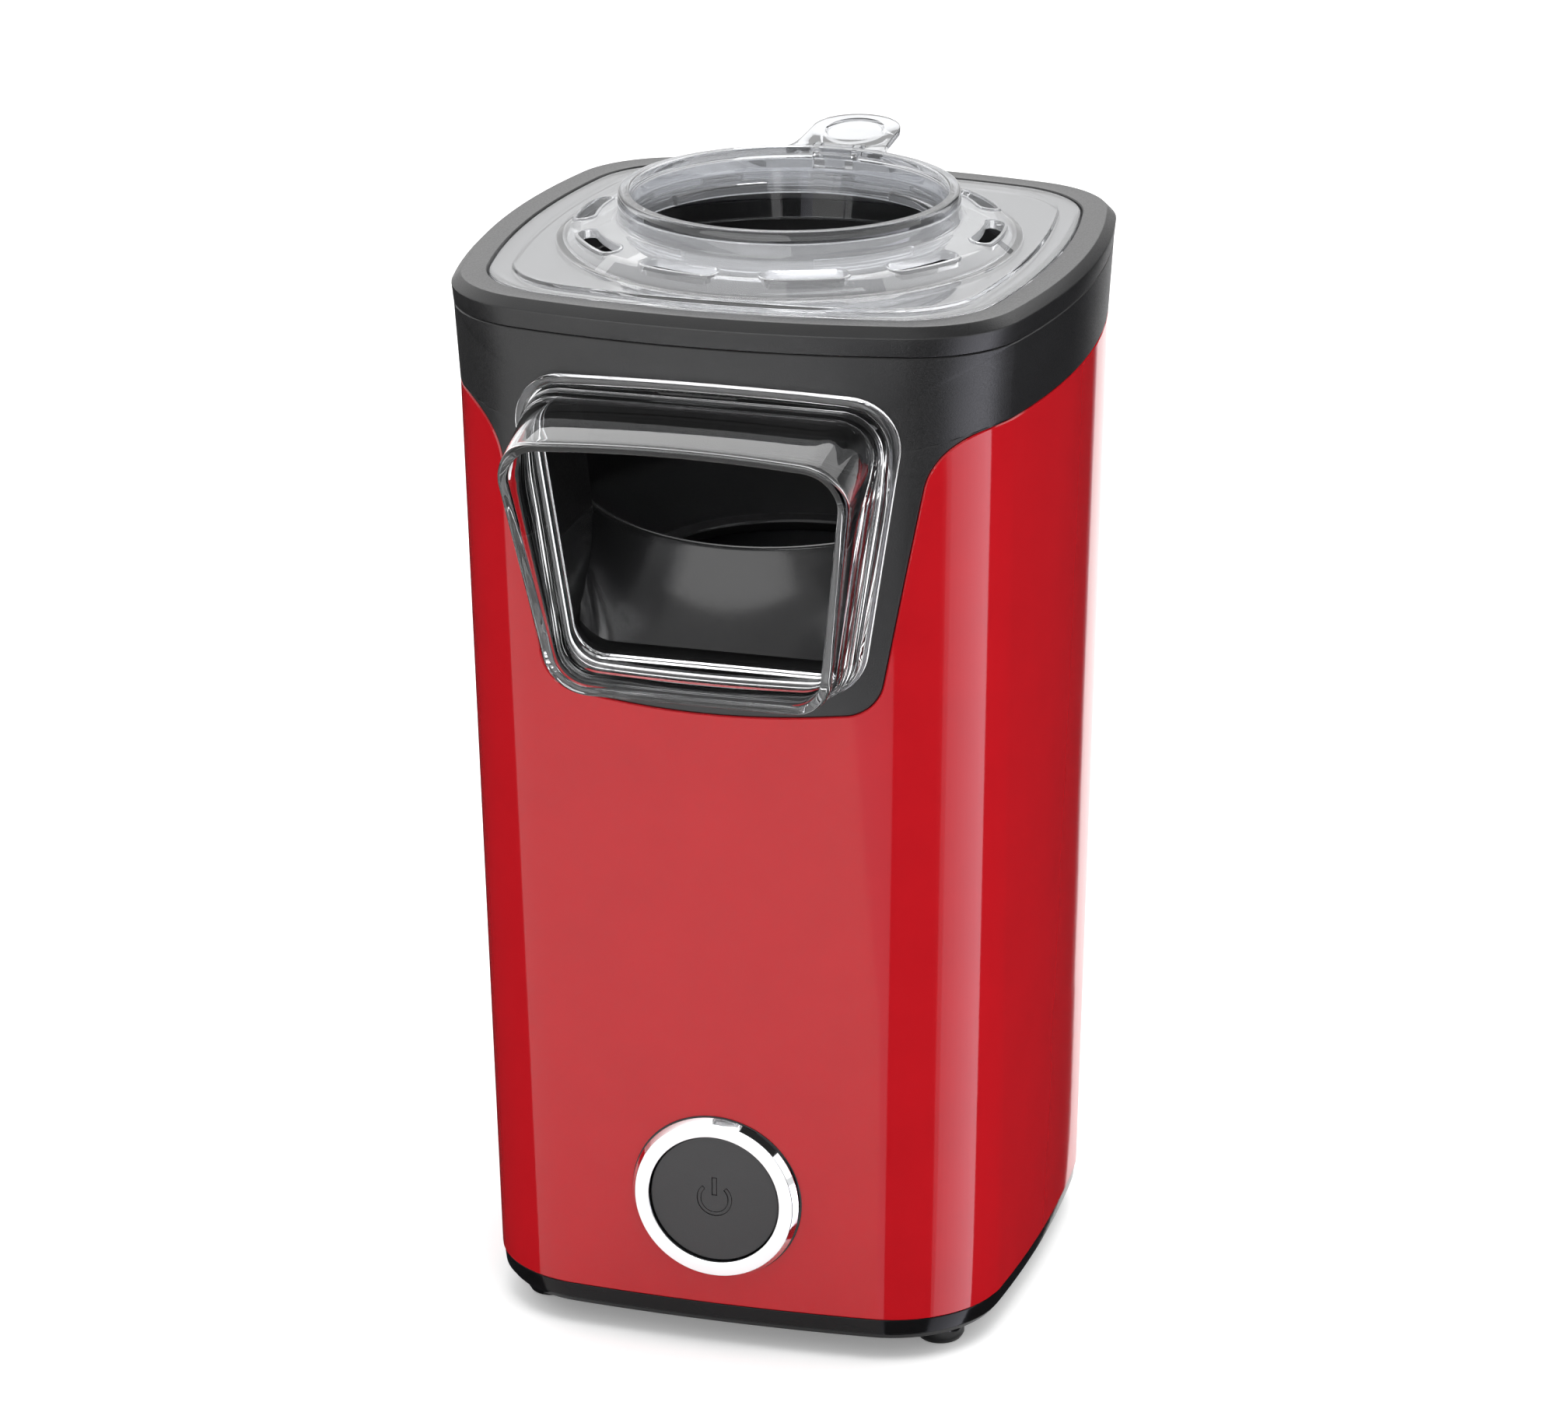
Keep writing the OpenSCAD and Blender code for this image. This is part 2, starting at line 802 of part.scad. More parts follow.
module motor_bracket() {
    color("#aeb1b4")
        translate([0, 0, z_bracket])
            difference() {
                union() {
                    cylinder(r = duct_r + 2, h = bracket_t);
                    at_corners(post_at, post_at)
                        cylinder(r = 7, h = bracket_t);
                    for (a = [45, 135])
                        rotate([0, 0, a])
                            translate([-post_at * sqrt(2), -5.5, 0])
                                cube([2 * post_at * sqrt(2), 11, bracket_t]);
                }
                translate([0, 0, -1])
                    cylinder(r = 8 + gap, h = bracket_t + 2);
                for (i = [0 : 5])
                    rotate([0, 0, 60 * i])
                        translate([30, 0, -1])
                            cylinder(r = 10.5, h = bracket_t + 2);
                at_corners(post_at, post_at)
                    translate([0, 0, -1])
                        cylinder(r = screw_r + 0.2, h = bracket_t + 2);
            }
}

module dampers() {
    color("#2a2a2a")
        at_corners(post_at, post_at)
            translate([0, 0, z_bracket - damper_h + gap / 3])
                tube(5.5, screw_r + 0.2, damper_h - gap * 2 / 3);
}

module bracket_screws() {
    color("#9a9c9e")
        at_corners(post_at, post_at) {
            translate([0, 0, z_duct + gap / 3])
                cylinder(r = screw_head_r, h = 2.2);
            translate([0, 0, z_bracket - damper_h - 12])
                cylinder(r = screw_r, h = damper_h + 12 + bracket_t + 1);
        }
}

module rectifier_board() {
    color("#3f6b3f")
        translate([0, board_y, z_motor + gap / 3]) {
            translate([-23, -10, 0])
                cube([46, 20, 1.6]);
            for (i = [-1.5 : 1.5])
                translate([8 * i, 2, 3])
                    rotate([90, 0, 0])
                        cylinder(r = 1.5, h = 6, center = true);
            for (i = [-1.5 : 1.5])
                translate([8 * i - 0.5, -1, 1])
                    cube([1, 6, 1]);
            translate([-20, -8, 1])
                cube([10, 7, 8]);
        }
}

// Lid, filling ring and thumb tab

module lid() {
    color([0.85, 0.87, 0.9, 0.4])
        difference() {
            union() {
                difference() {
                    translate([0, 0, z_lid]) {
                        linear_extrude(lid_edge_t)
                            polygon(rounded_square(lid_w / 2, corner_r - 3, bulge_top));
                        linear_extrude(lid_edge_t + lid_step_t)
                            polygon(rounded_square(lid_w / 2 - lid_step, corner_r - 6, bulge_top));
                    }
                    translate([0, 0, z_lid - 1])
                        cylinder(r = skirt_r - 1, h = 20);
                }
                rotate_extrude()
                    polygon(dome_profile());
            }
            for (i = [0 : slot_count - 1])
                rotate([0, 0, 360 * i / slot_count])
                    vent_slot();
        }
}

function dome_profile() =
    let (neck_in = neck_r - ring_wall)
    [[skirt_r, z_lid - skirt_h], [skirt_r, z_plate - 0.5], [dome_r - 0.2, z_plate - 0.5],
        [dome_r - 4.5, z_shoulder - 0.8], [dome_r - 7.5, z_shoulder], [neck_r + 1.2, z_shoulder + 0.3],
        [neck_r, z_shoulder + 1.4], [neck_r, z_neck], [neck_in, z_neck], [neck_in, z_shoulder + 0.3 - dome_t],
        [dome_r - 8, z_shoulder - dome_t], [dome_r - 5.6, z_shoulder - 0.8 - dome_t],
        [skirt_r - dome_t, z_plate - 2], [skirt_r - dome_t, z_lid - skirt_h]];

module vent_slot() {
    r = dome_r - 7.6;
    half = (slot_len - slot_w) / 2 / r * 180 / PI;
    translate([0, 0, z_shoulder - 8])
        rotate([0, 0, -half])
            rotate_extrude(angle = 2 * half)
                translate([r - slot_w / 2, 0])
                    square([slot_w, 16]);
    for (s = [-1, 1])
        rotate([0, 0, s * half])
            translate([r, 0, z_shoulder - 8])
                cylinder(r = slot_w / 2, h = 16);
}

module neck_ring() {
    color([0.85, 0.87, 0.9, 0.4])
        difference() {
            union() {
                rotate_extrude()
                    polygon([[sleeve_r - ring_wall, z_rim - sleeve_h], [sleeve_r, z_rim - sleeve_h],
                        [sleeve_r, z_rim], [rim_r, z_rim], [rim_r, z_ring_top], [rim_in, z_ring_top],
                        [sleeve_r - ring_wall, z_ring_top - 2]]);
                for (q = [0 : 3])
                    rotate([0, 0, 90 * q + 25])
                        rotate_extrude(angle = 40)
                            translate([sleeve_r - ring_wall - 1.4, z_rim - sleeve_h + 0.6])
                                square([2, 2.6]);
                for (s = [-1, 1])
                    translate([s * (knuckle_half + move_gap + ear_t / 2), 0, 0]) {
                        translate([-ear_t / 2, rim_r - 2, hinge_z - 1.5])
                            cube([ear_t, 4.3, 3.2]);
                        translate([-ear_t / 2, hinge_y, hinge_z])
                            rotate([0, 90, 0])
                                cylinder(r = knuckle_r, h = ear_t);
                    }
            }
            translate([-30, hinge_y, hinge_z])
                rotate([0, 90, 0])
                    cylinder(r = pin_r + run_gap / 2, h = 60);
            translate([-5.6, sleeve_r - 5, z_rim - 2.4])
                cube([11.2, 4.9, 3.4]);
        }
}

module flip_tab() {
    notch_half = knuckle_half + ear_t + 3 * move_gap;
    color([0.85, 0.87, 0.9, 0.4])
        difference() {
            union() {
                translate([-knuckle_half, hinge_y, hinge_z])
                    rotate([0, 90, 0])
                        cylinder(r = knuckle_r, h = 2 * knuckle_half);
                translate([-knuckle_half, hinge_y, hinge_z - tab_t / 2])
                    cube([2 * knuckle_half, 4, tab_t]);
                translate([0, 0, hinge_z - tab_t / 2])
                    linear_extrude(tab_t)
                        difference() {
                            union() {
                                translate([0, hinge_y + tab_len - tab_r])
                                    circle(r = tab_r);
                                polygon([[-tab_r - 2, rim_r - 2], [tab_r + 2, rim_r - 2],
                                    [tab_r, hinge_y + 4.5], [tab_r, hinge_y + tab_len - tab_r],
                                    [-tab_r, hinge_y + tab_len - tab_r], [-tab_r, hinge_y + 4.5]]);
                            }
                            circle(r = rim_r + 0.6);
                            translate([-notch_half, 0])
                                square([2 * notch_half, hinge_y + knuckle_r + move_gap]);
                        }
            }
            translate([-30, hinge_y, hinge_z])
                rotate([0, 90, 0])
                    cylinder(r = pin_r + run_gap, h = 60);
            translate([0, hinge_y + tab_len - tab_r, hinge_z + tab_t / 2 - 0.7])
                cylinder(r = thumb_r, h = 3);
        }
}

module tab_pin() {
    half = knuckle_half + move_gap + ear_t;
    color("#c4c7ca")
        translate([-half, hinge_y, hinge_z])
            rotate([0, 90, 0])
                cylinder(r = pin_r, h = 2 * half);
}

module at_axis() {
    translate([0, axis_y, 0])
        children();
}

echo(heater_coil_least_gap = coil_pitch - 2 * coil_wire);
echo(button_spring_least_gap = (spring_h - 2 * spring_wire - 2 * gap) / spring_turns - 2 * spring_wire);

at_axis() shell();
at_axis() collar();
at_axis() bezel();
at_axis() base();
at_axis() feet();
at_axis() base_screws();
at_axis() hood();
at_axis() chute();
at_axis() button_ring();
at_axis() button_housing();
at_axis() button();
at_axis() button_spring();
at_axis() switch();
at_axis() cord_gland();
at_axis() chamber();
at_axis() duct();
at_axis() heater_frame();
at_axis() heater_coil();
at_axis() thermostat();
at_axis() thermal_fuse();
at_axis() fan();
at_axis() motor_shaft();
at_axis() motor();
at_axis() motor_bracket();
at_axis() dampers();
at_axis() bracket_screws();
at_axis() rectifier_board();
at_axis() lid();
at_axis() neck_ring();
at_axis() flip_tab();
at_axis() tab_pin();
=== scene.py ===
"""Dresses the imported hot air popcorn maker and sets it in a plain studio."""

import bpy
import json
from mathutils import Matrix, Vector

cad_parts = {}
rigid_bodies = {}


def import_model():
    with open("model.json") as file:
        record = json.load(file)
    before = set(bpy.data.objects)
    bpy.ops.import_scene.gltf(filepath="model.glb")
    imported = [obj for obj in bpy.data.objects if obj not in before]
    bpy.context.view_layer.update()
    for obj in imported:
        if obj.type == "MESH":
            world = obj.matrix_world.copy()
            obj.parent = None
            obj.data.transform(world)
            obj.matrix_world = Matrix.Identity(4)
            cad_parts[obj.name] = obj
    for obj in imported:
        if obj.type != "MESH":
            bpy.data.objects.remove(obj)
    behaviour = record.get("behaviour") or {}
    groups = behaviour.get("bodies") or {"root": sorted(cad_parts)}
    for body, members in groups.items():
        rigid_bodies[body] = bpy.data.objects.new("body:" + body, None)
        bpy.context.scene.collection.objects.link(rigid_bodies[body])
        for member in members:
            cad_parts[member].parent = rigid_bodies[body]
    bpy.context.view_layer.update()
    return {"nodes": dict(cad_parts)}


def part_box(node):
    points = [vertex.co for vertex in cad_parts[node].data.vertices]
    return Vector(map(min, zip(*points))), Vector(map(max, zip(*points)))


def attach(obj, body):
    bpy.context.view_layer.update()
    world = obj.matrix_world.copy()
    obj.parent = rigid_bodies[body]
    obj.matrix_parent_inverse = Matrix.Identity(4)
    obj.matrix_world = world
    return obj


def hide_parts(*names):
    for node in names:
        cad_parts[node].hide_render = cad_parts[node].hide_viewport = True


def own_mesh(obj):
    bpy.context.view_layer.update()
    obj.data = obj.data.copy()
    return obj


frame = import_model()

import json
from math import atan2, copysign, cos, degrees, floor, hypot, pi, radians, sin, sqrt, tan

import bmesh
import bpy
from mathutils import Matrix, Vector

MM = 0.001
WELD = 2e-6            # points closer than this, in metres, become one
SHARP = radians(32)    # edges that turn more than this stay sharp
SIDES = (-1, 1)

# Camera, from the photograph
PHOTO_W = 2016
FOCAL_PX = 7698
SENSOR_W = 36.0
YAW, PITCH, ROLL = radians(16.489), radians(19.887), radians(-0.293)
CAMERA_AT = (0.42949, -1.444367, 0.7063)

# The button's spring and travel in metres, from the frame
SPRING_FRONT, SPRING_BACK = (corner[1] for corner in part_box("button_spring"))

# All sizes from here on are in mm, in the machine's own frame: axis at x = y = 0, z from the floor
AXIS_Y = 14.023        # the axis stands this far behind the origin of the frame

# Case; a section is a half width, a corner radius and the radius of its bulging sides
Z_SHELL, Z_BIB, Z_BAND, Z_SEAM = 13.0, 182.5, 260.5, 281.0
LOW = (71.9, 31.0, 500.0)
HIGH = (80.0, 31.0, 242.0)
LAP = 8                # a section's parameter grows by this once round
WALL = 2.4
FLARE = 0.9            # the band widens by this from its lower edge to the seam
GAP = 0.15             # between the shell and the collar
EDGE = 0.35            # rounding of the shell's and the collar's edges
GLAND_Z, GLAND_HOLE = 43.0, 5.65

# Top frame, base and feet
POCKET = (72.3, 28.0, HIGH[2])
Z_FRAME, Z_LEDGE, Z_TOP = 281.15, 285.6, 288.6
Z_BASE, Z_BASE_FLOOR = 6.05, 8.5
POST_AT, WELL_AT, FOOT_AT = 40, (59, 24), (55, 48)

# Button
BUTTON_Z, BUTTON_HOLE, BUTTON_R, BUTTON_FACE = 45.0, 20.75, 17.7, 1.9
BUTTON_STEPS = 96

# Spout
Z_SPOUT, SPOUT_H, SPOUT_W, SPOUT_R, SPOUT_LEAN = 194.5, 73.0, 72.2, 9, radians(8.7)
SPOUT_BACK, LIP_REACH, LIP_BACK = 71.7, 108.6, 15.8
Z_LIP = (190.3, 262.7)
LIP_DRAW = 1.9         # the spout's sides draw in by this towards the lip
CHUTE_WALL = 2.2
SPOUT_BOW = 2.0        # rise of the spout's roof between the case and the lip

# Hood
HOOD_R, HOOD_IN, CHANNEL_FRONT = 62.6, 60.6, 71.4
Z_HOOD, Z_MOUTH, Z_CREST, MOUTH_R = 195.15, 199.0, 222.5, 42.0

# Lid, filling ring and tab
LID_EDGE = (71.8, 28.0, HIGH[2])
LID_STEP = (65.8, 25.0, HIGH[2])
Z_LID, Z_LID_EDGE, Z_PLATE, Z_NECK = 285.75, 288.45, 289.45, 298.85
DOME_R, Z_DOME, DOME_FALL = 46.8, 294.5, 0.165
Z_RIM, Z_RING_TOP = 299.0, 302.2
SLEEVE_R, RIM_R, RIM_IN, RING_IN = 43.2, 44.8, 42.0, 41.4
HINGE_Y, HINGE_Z, KNUCKLE_R = 47.1, 300.5, 1.7


# Numbers and outlines

def lerp(a, b, t):
    return a + (b - a) * t


def spread(a, b, n):
    return [lerp(a, b, i / n) for i in range(n + 1)]


def clamp01(t):
    return max(0.0, min(1.0, t))


def ease(t):
    t = clamp01(t)
    return t * t * (3 - 2 * t)


def arc(cx, cy, r, a0, a1, n):
    return [(cx + r * cos(a), cy + r * sin(a)) for a in spread(radians(a0), radians(a1), n)]


def between(a, b, n):
    """The points that cut the line from a to b into n, without its ends."""
    return [(lerp(a[0], b[0], t), lerp(a[1], b[1], t)) for t in spread(0, 1, n)[1:-1]]


def both_sides(right):
    """Closed outline from its right half, whose first and last points lie on the middle."""
    return right + [(-x, z) for x, z in right[-2:0:-1]]


def fillet(points, n=4):
    """Rounds each corner (a, b, radius) of a closed outline."""
    out = []
    for i, (x, y, r) in enumerate(points):
        here = Vector((x, y))
        to_last = Vector(points[i - 1][:2]) - here
        to_next = Vector(points[(i + 1) % len(points)][:2]) - here
        if r <= 0:
            out.append((x, y))
            continue
        d = r / tan(to_last.angle(to_next) / 2)
        a = here + to_last.normalized() * min(d, 0.48 * to_last.length)
        b = here + to_next.normalized() * min(d, 0.48 * to_next.length)
        for t in spread(0, 1, n):
            p = a * (1 - t) ** 2 + here * (2 * t * (1 - t)) + b * t ** 2
            out.append((p.x, p.y))
    return out


def section_point(shape, g, u):
    """Point u of a section grown by g: u = 0 is the front's middle, 1 the right front corner."""
    half, r, bulge = (v + g for v in shape)
    k = floor((u + 0.5) / 2)
    w = u - 2 * k
    flat = bulge - half
    c = (sqrt(2 * (bulge - r) ** 2 - flat ** 2) - flat) / 2
    lean = atan2(c, flat + c)
    if w <= 0.5:
        a = 2 * w * lean
        x, y = bulge * sin(a), flat - bulge * cos(a)
    else:
        a = lean + (pi / 2 - 2 * lean) * (w - 0.5)
        x, y = c + r * sin(a), -c - r * cos(a)
    for _ in range(k % 4):
        x, y = -y, x
    return x, y


def case_point(u, z, g=0.0, widen=0.0):
    t = (z - Z_SHELL) / (Z_SEAM - Z_SHELL)
    x0, y0 = section_point(LOW, g, u)
    x1, y1 = section_point(HIGH, g, u)
    half = lerp(LOW[0], HIGH[0], t)
    return lerp(x0, x1, t) * (1 + widen / half), lerp(y0, y1, t), z


def flare_at(z):
    return FLARE * clamp01((z - Z_BAND) / (Z_SEAM - Z_BAND))


def front_u(x, z, widen=0.0):
    """The parameter at which the front half of the case has this x."""
    lo, hi = 0.0, 1.6
    for _ in range(34):
        mid = (lo + hi) / 2
        if case_point(mid, z, 0, widen)[0] < abs(x):
            lo = mid
        else:
            hi = mid
    return copysign((lo + hi) / 2, x)


def front_y(x, z):
    w = flare_at(z)
    return case_point(front_u(x, z, w), z, 0, w)[1]


def ring_params():
    """Parameters once round a section."""
    n_side, n_corner = 14, 16
    out = []
    for k in range(4):
        out += spread(2 * k - 0.5, 2 * k + 0.5, n_side)[:-1]
        out += spread(2 * k + 0.5, 2 * k + 1.5, n_corner)[:-1]
    return out


def back_columns(start):
    """Parameters from the right front corner to the middle of the back."""
    return (spread(start, 1.5, 6) + spread(1.5, 2.5, 10)[1:] + spread(2.5, 3.5, 16)[1:]
            + spread(3.5, 4.0, 8)[1:])


def border(g):
    """Right half of the line between red and black, grown outwards by g, as points (x, z)."""
    half, sag, lean, corner, sweep, n = 43.8, 2, 10.9, 11.0, 18.0, 12
    slope = tan(radians(lean))
    zc = Z_BIB + sag + corner
    xc = half + (zc - Z_BIB) * slope - corner / cos(radians(lean))
    zs = Z_BAND - sweep
    xs = half + (zs - Z_BIB) * slope + sweep / cos(radians(lean))
    low = [(xc * i / n, Z_BIB - g + sag * (i / n) ** 2) for i in range(n)]
    bend = arc(xc, zc, corner + g, -84, -lean, 14)
    rise = arc(xs, zs, sweep - g, 180 - lean, 90, 18)
    return low + bend + between(bend[-1], rise[0], 10) + rise


def spout_outline(z0, z1, w, r):
    """The spout's outline as points (x, z), from the middle of its low edge round to the right."""
    arch = 1.4
    s = tan(SPOUT_LEAN)
    lean = degrees(SPOUT_LEAN)
    zc = z1 - arch - r
    x0 = w / 2 + r * s - r / cos(SPOUT_LEAN)
    x1 = w / 2 + (zc - z0) * s - r / cos(SPOUT_LEAN)
    low = arc(x0, z0 + r, r, -90, -lean, 12)
    high = arc(x1, zc, r, -lean, 86, 14)
    right = [(x0 * t, z0) for t in spread(0, 1, 9)[:-1]]
    right += low + between(low[-1], high[0], 14) + high
    xt, zt = high[-1]
    right += [(x, lerp(z1, zt, (x / xt) ** 2)) for x in spread(xt, 0, 12)[1:]]
    return both_sides(right)


def opening(g=0.0):
    return spout_outline(Z_SPOUT - g, Z_SPOUT + SPOUT_H + g, SPOUT_W + 2 * g, SPOUT_R + g)


def lip_outline(g):
    return spout_outline(Z_LIP[0] - g, Z_LIP[1] + g, SPOUT_W + 2 * (CHUTE_WALL - LIP_DRAW + g),
                         SPOUT_R + CHUTE_WALL + g)


# Meshes

def grid_faces(rows, cols, close_rows, close_cols):
    faces = []
    for i in range(rows if close_rows else rows - 1):
        for j in range(cols if close_cols else cols - 1):
            row, next_row = i * cols, ((i + 1) % rows) * cols
            k = (j + 1) % cols
            faces.append([row + j, row + k, next_row + k, next_row + j])
    return faces


def loft(rings, close=True):
    """Surface through closed rings: a torus when closed, otherwise capped at both ends."""
    n = len(rings[0])
    verts = [p for ring in rings for p in ring]
    faces = grid_faces(len(rings), n, close, True)
    if not close:
        faces.append(list(range(n))[::-1])
        faces.append([(len(rings) - 1) * n + j for j in range(n)])
    return verts, faces


def turns(n):
    return [2 * pi * j / n for j in range(n)]


def lathe(profile, n, at=(0, 0, 0), axis="z"):
    """Closed outline of (radius, height) turned about an axis."""
    def point(r, h, a):
        c, s = r * cos(a), r * sin(a)
        p = {"x": (h, c, s), "y": (c, -h, s), "z": (c, s, h)}[axis]
        return tuple(v + w for v, w in zip(p, at))
    return loft([[point(r, h, a) for a in turns(n)] for r, h in profile])


def rod(r, h0, h1, n, at=(0, 0, 0), axis="z"):
    return lathe([(0, h0), (r, h0), (r, h1), (0, h1)], n, at, axis)


def prism(outline, z0, z1, edge=0.0):
    """Outline of (x, y) raised from z0 to z1, its edges rounded by moving towards the middle."""
    def ring(z, inset):
        n = len(outline)
        out = []
        for i, (x, y) in enumerate(outline):
            d = Vector(outline[(i + 1) % n]) - Vector(outline[i - 1])
            d.normalize()
            out.append((x - d.y * inset, y + d.x * inset, z))
        return out
    if not edge:
        return loft([ring(z0, 0), ring(z1, 0)], close=False)
    steps = [(edge * (1 - sin(a)), edge * (1 - cos(a))) for a in spread(0, pi / 2, 4)]
    low = [ring(z0 + b, a) for a, b in steps]
    high = [ring(z1 - b, a) for a, b in reversed(steps)]
    return loft(low + high, close=False)


def merge(*parts):
    verts, faces = [], []
    for v, f in parts:
        faces += [[i + len(verts) for i in face] for face in f]
        verts += v
    return verts, faces


def metres(points):
    """Points of the machine's own frame, in the frame of the scene."""
    return [(x * MM, (y + AXIS_Y) * MM, z * MM) for x, y, z in points]


def new_object(name, data):
    obj = bpy.data.objects.new(name, data)
    bpy.context.scene.collection.objects.link(obj)
    return obj


def solid(name, part):
    """Object in the scene with welded points and outward faces."""
    mesh = bpy.data.meshes.new(name)
    verts, faces = part
    mesh.from_pydata(metres(verts), [], faces)
    bm = bmesh.new()
    bm.from_mesh(mesh)
    bmesh.ops.remove_doubles(bm, verts=bm.verts, dist=WELD)
    bmesh.ops.delete(bm, geom=[e for e in bm.edges if not e.link_faces], context="EDGES")
    bmesh.ops.triangulate(bm, faces=[f for f in bm.faces if len(f.verts) > 4])
    bmesh.ops.recalc_face_normals(bm, faces=bm.faces)
    bm.to_mesh(mesh)
    bm.free()
    return new_object(name, mesh)


def combine(obj, part, operation):
    """Joins a closed part to the object, or cuts it away."""
    other = solid("tool", part)
    mod = obj.modifiers.new("combine", "BOOLEAN")
    mod.operation = operation
    mod.solver = "EXACT"
    mod.object = other
    made = obj.evaluated_get(bpy.context.evaluated_depsgraph_get())
    mesh = bpy.data.meshes.new_from_object(made)
    obj.modifiers.clear()
    old = obj.data
    obj.data = mesh
    mesh.name = obj.name
    bpy.data.meshes.remove(old)
    tool_mesh = other.data
    bpy.data.objects.remove(other)
    bpy.data.meshes.remove(tool_mesh)


def taken(obj):
    """The part that an object holds, in mm, with the object removed."""
    mesh = obj.data
    part = ([(v.co.x / MM, v.co.y / MM - AXIS_Y, v.co.z / MM) for v in mesh.vertices],
            [list(p.vertices) for p in mesh.polygons])
    bpy.data.objects.remove(obj)
    bpy.data.meshes.remove(mesh)
    return part


def clean(obj):
    bm = bmesh.new()
    bm.from_mesh(obj.data)
    bmesh.ops.remove_doubles(bm, verts=bm.verts, dist=WELD)
    bmesh.ops.dissolve_degenerate(bm, edges=bm.edges, dist=WELD / 2)
    bmesh.ops.holes_fill(bm, edges=[e for e in bm.edges if e.is_boundary], sides=6)
    bmesh.ops.recalc_face_normals(bm, faces=bm.faces)
    bm.to_mesh(obj.data)
    bm.free()


def dress(obj, mat, body, node):
    """Gives a piece its material, smooth faces and body, and hides the CAD node that it stands
    for.
    """
    obj.data.materials.clear()
    obj.data.materials.append(mat)
    obj.data.shade_smooth()
    obj.data.set_sharp_from_angle(angle=SHARP)
    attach(obj, body)
    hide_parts(node)
    return obj


def mark_faces(obj, mat, inside, lean=(-2, 2)):
    """Another material for the faces with their middle inside and their normal's z within lean."""
    if mat.name not in obj.data.materials:
        obj.data.materials.append(mat)
    index = obj.data.materials.find(mat.name)
    for face in obj.data.polygons:
        x, y, z = face.center / MM
        if lean[0] <= face.normal.z <= lean[1] and inside(x, y - AXIS_Y, z):
            face.material_index = index


class Skin:
    """Sheet on the case, of points (u, z, depth), closed to a wall."""

    def __init__(self, widen):
        self.widen = widen
        self.ids, self.points, self.faces = {}, [], []

    def point(self, p):
        key = (round(p[0] % LAP, 4) % LAP, round(p[1], 3))
        if key not in self.ids:
            self.ids[key] = len(self.points)
            self.points.append(p)
        return self.ids[key]

    def grid(self, rows, closed=False):
        n = len(rows[0])
        ids = [[self.point(p) for p in row] for row in rows]
        for a, b in zip(ids, ids[1:]):
            for j in range(n if closed else n - 1):
                k = (j + 1) % n
                face = []
                for i in (a[j], a[k], b[k], b[j]):
                    if i not in face:
                        face.append(i)
                if len(face) > 2:
                    self.faces.append(face)

    def close(self):
        def at(u, z, depth):
            return case_point(u, z, -depth, self.widen(z))
        n = len(self.points)
        verts = [at(*p) for p in self.points] + [at(u, z, WALL) for u, z, _ in self.points]
        faces = list(self.faces) + [[i + n for i in reversed(f)] for f in self.faces]
        edges = {}
        for f in self.faces:
            edges.update(dict.fromkeys(zip(f, f[1:] + f[:1])))
        for a, b in edges:
            if (b, a) not in edges:
                faces.append([b, a, a + n, b + n])
        return verts, faces


# Materials

NOISE_SPAN = (0.3, 0.7)
ACRYLIC_IOR = 1.49


def new_material(name):
    mat = bpy.data.materials.new(name)
    mat.use_nodes = True
    tree = mat.node_tree
    return mat, tree, tree.nodes["Principled BSDF"]


def add(tree, kind, **values):
    node = tree.nodes.new("ShaderNode" + kind)
    for key, value in values.items():
        if key in node.inputs:
            node.inputs[key].default_value = value
        else:
            setattr(node, key, value)
    return node


def noise(tree, coord, size_mm, detail=3.0):
    """Noise whose features are about size_mm across."""
    node = add(tree, "TexNoise", Scale=1 / (size_mm * MM), Detail=detail)
    tree.links.new(coord.outputs["Object"], node.inputs["Vector"])
    return node.outputs["Fac"]


def map_range(tree, socket, start, end, kind="LINEAR"):
    node = add(tree, "MapRange", interpolation_type=kind)
    for name, value in zip(("From Min", "From Max", "To Min", "To Max"), (*start, *end)):
        node.inputs[name].default_value = value
    tree.links.new(socket, node.inputs["Value"])
    return node.outputs["Result"]


def math_node(tree, operation, a, b):
    node = add(tree, "Math", operation=operation)
    for socket, value in zip(node.inputs, (a, b)):
        if isinstance(value, (int, float)):
            socket.default_value = value
        else:
            tree.links.new(value, socket)
    return node.outputs[0]


def bump(tree, height, depth_mm, under=None):
    """Normal of a surface that a height moves by depth_mm, laid over another normal."""
    node = add(tree, "Bump", Strength=1.0, Distance=depth_mm * MM)
    tree.links.new(height, node.inputs["Height"])
    if under:
        tree.links.new(under, node.inputs["Normal"])
    return node.outputs["Normal"]


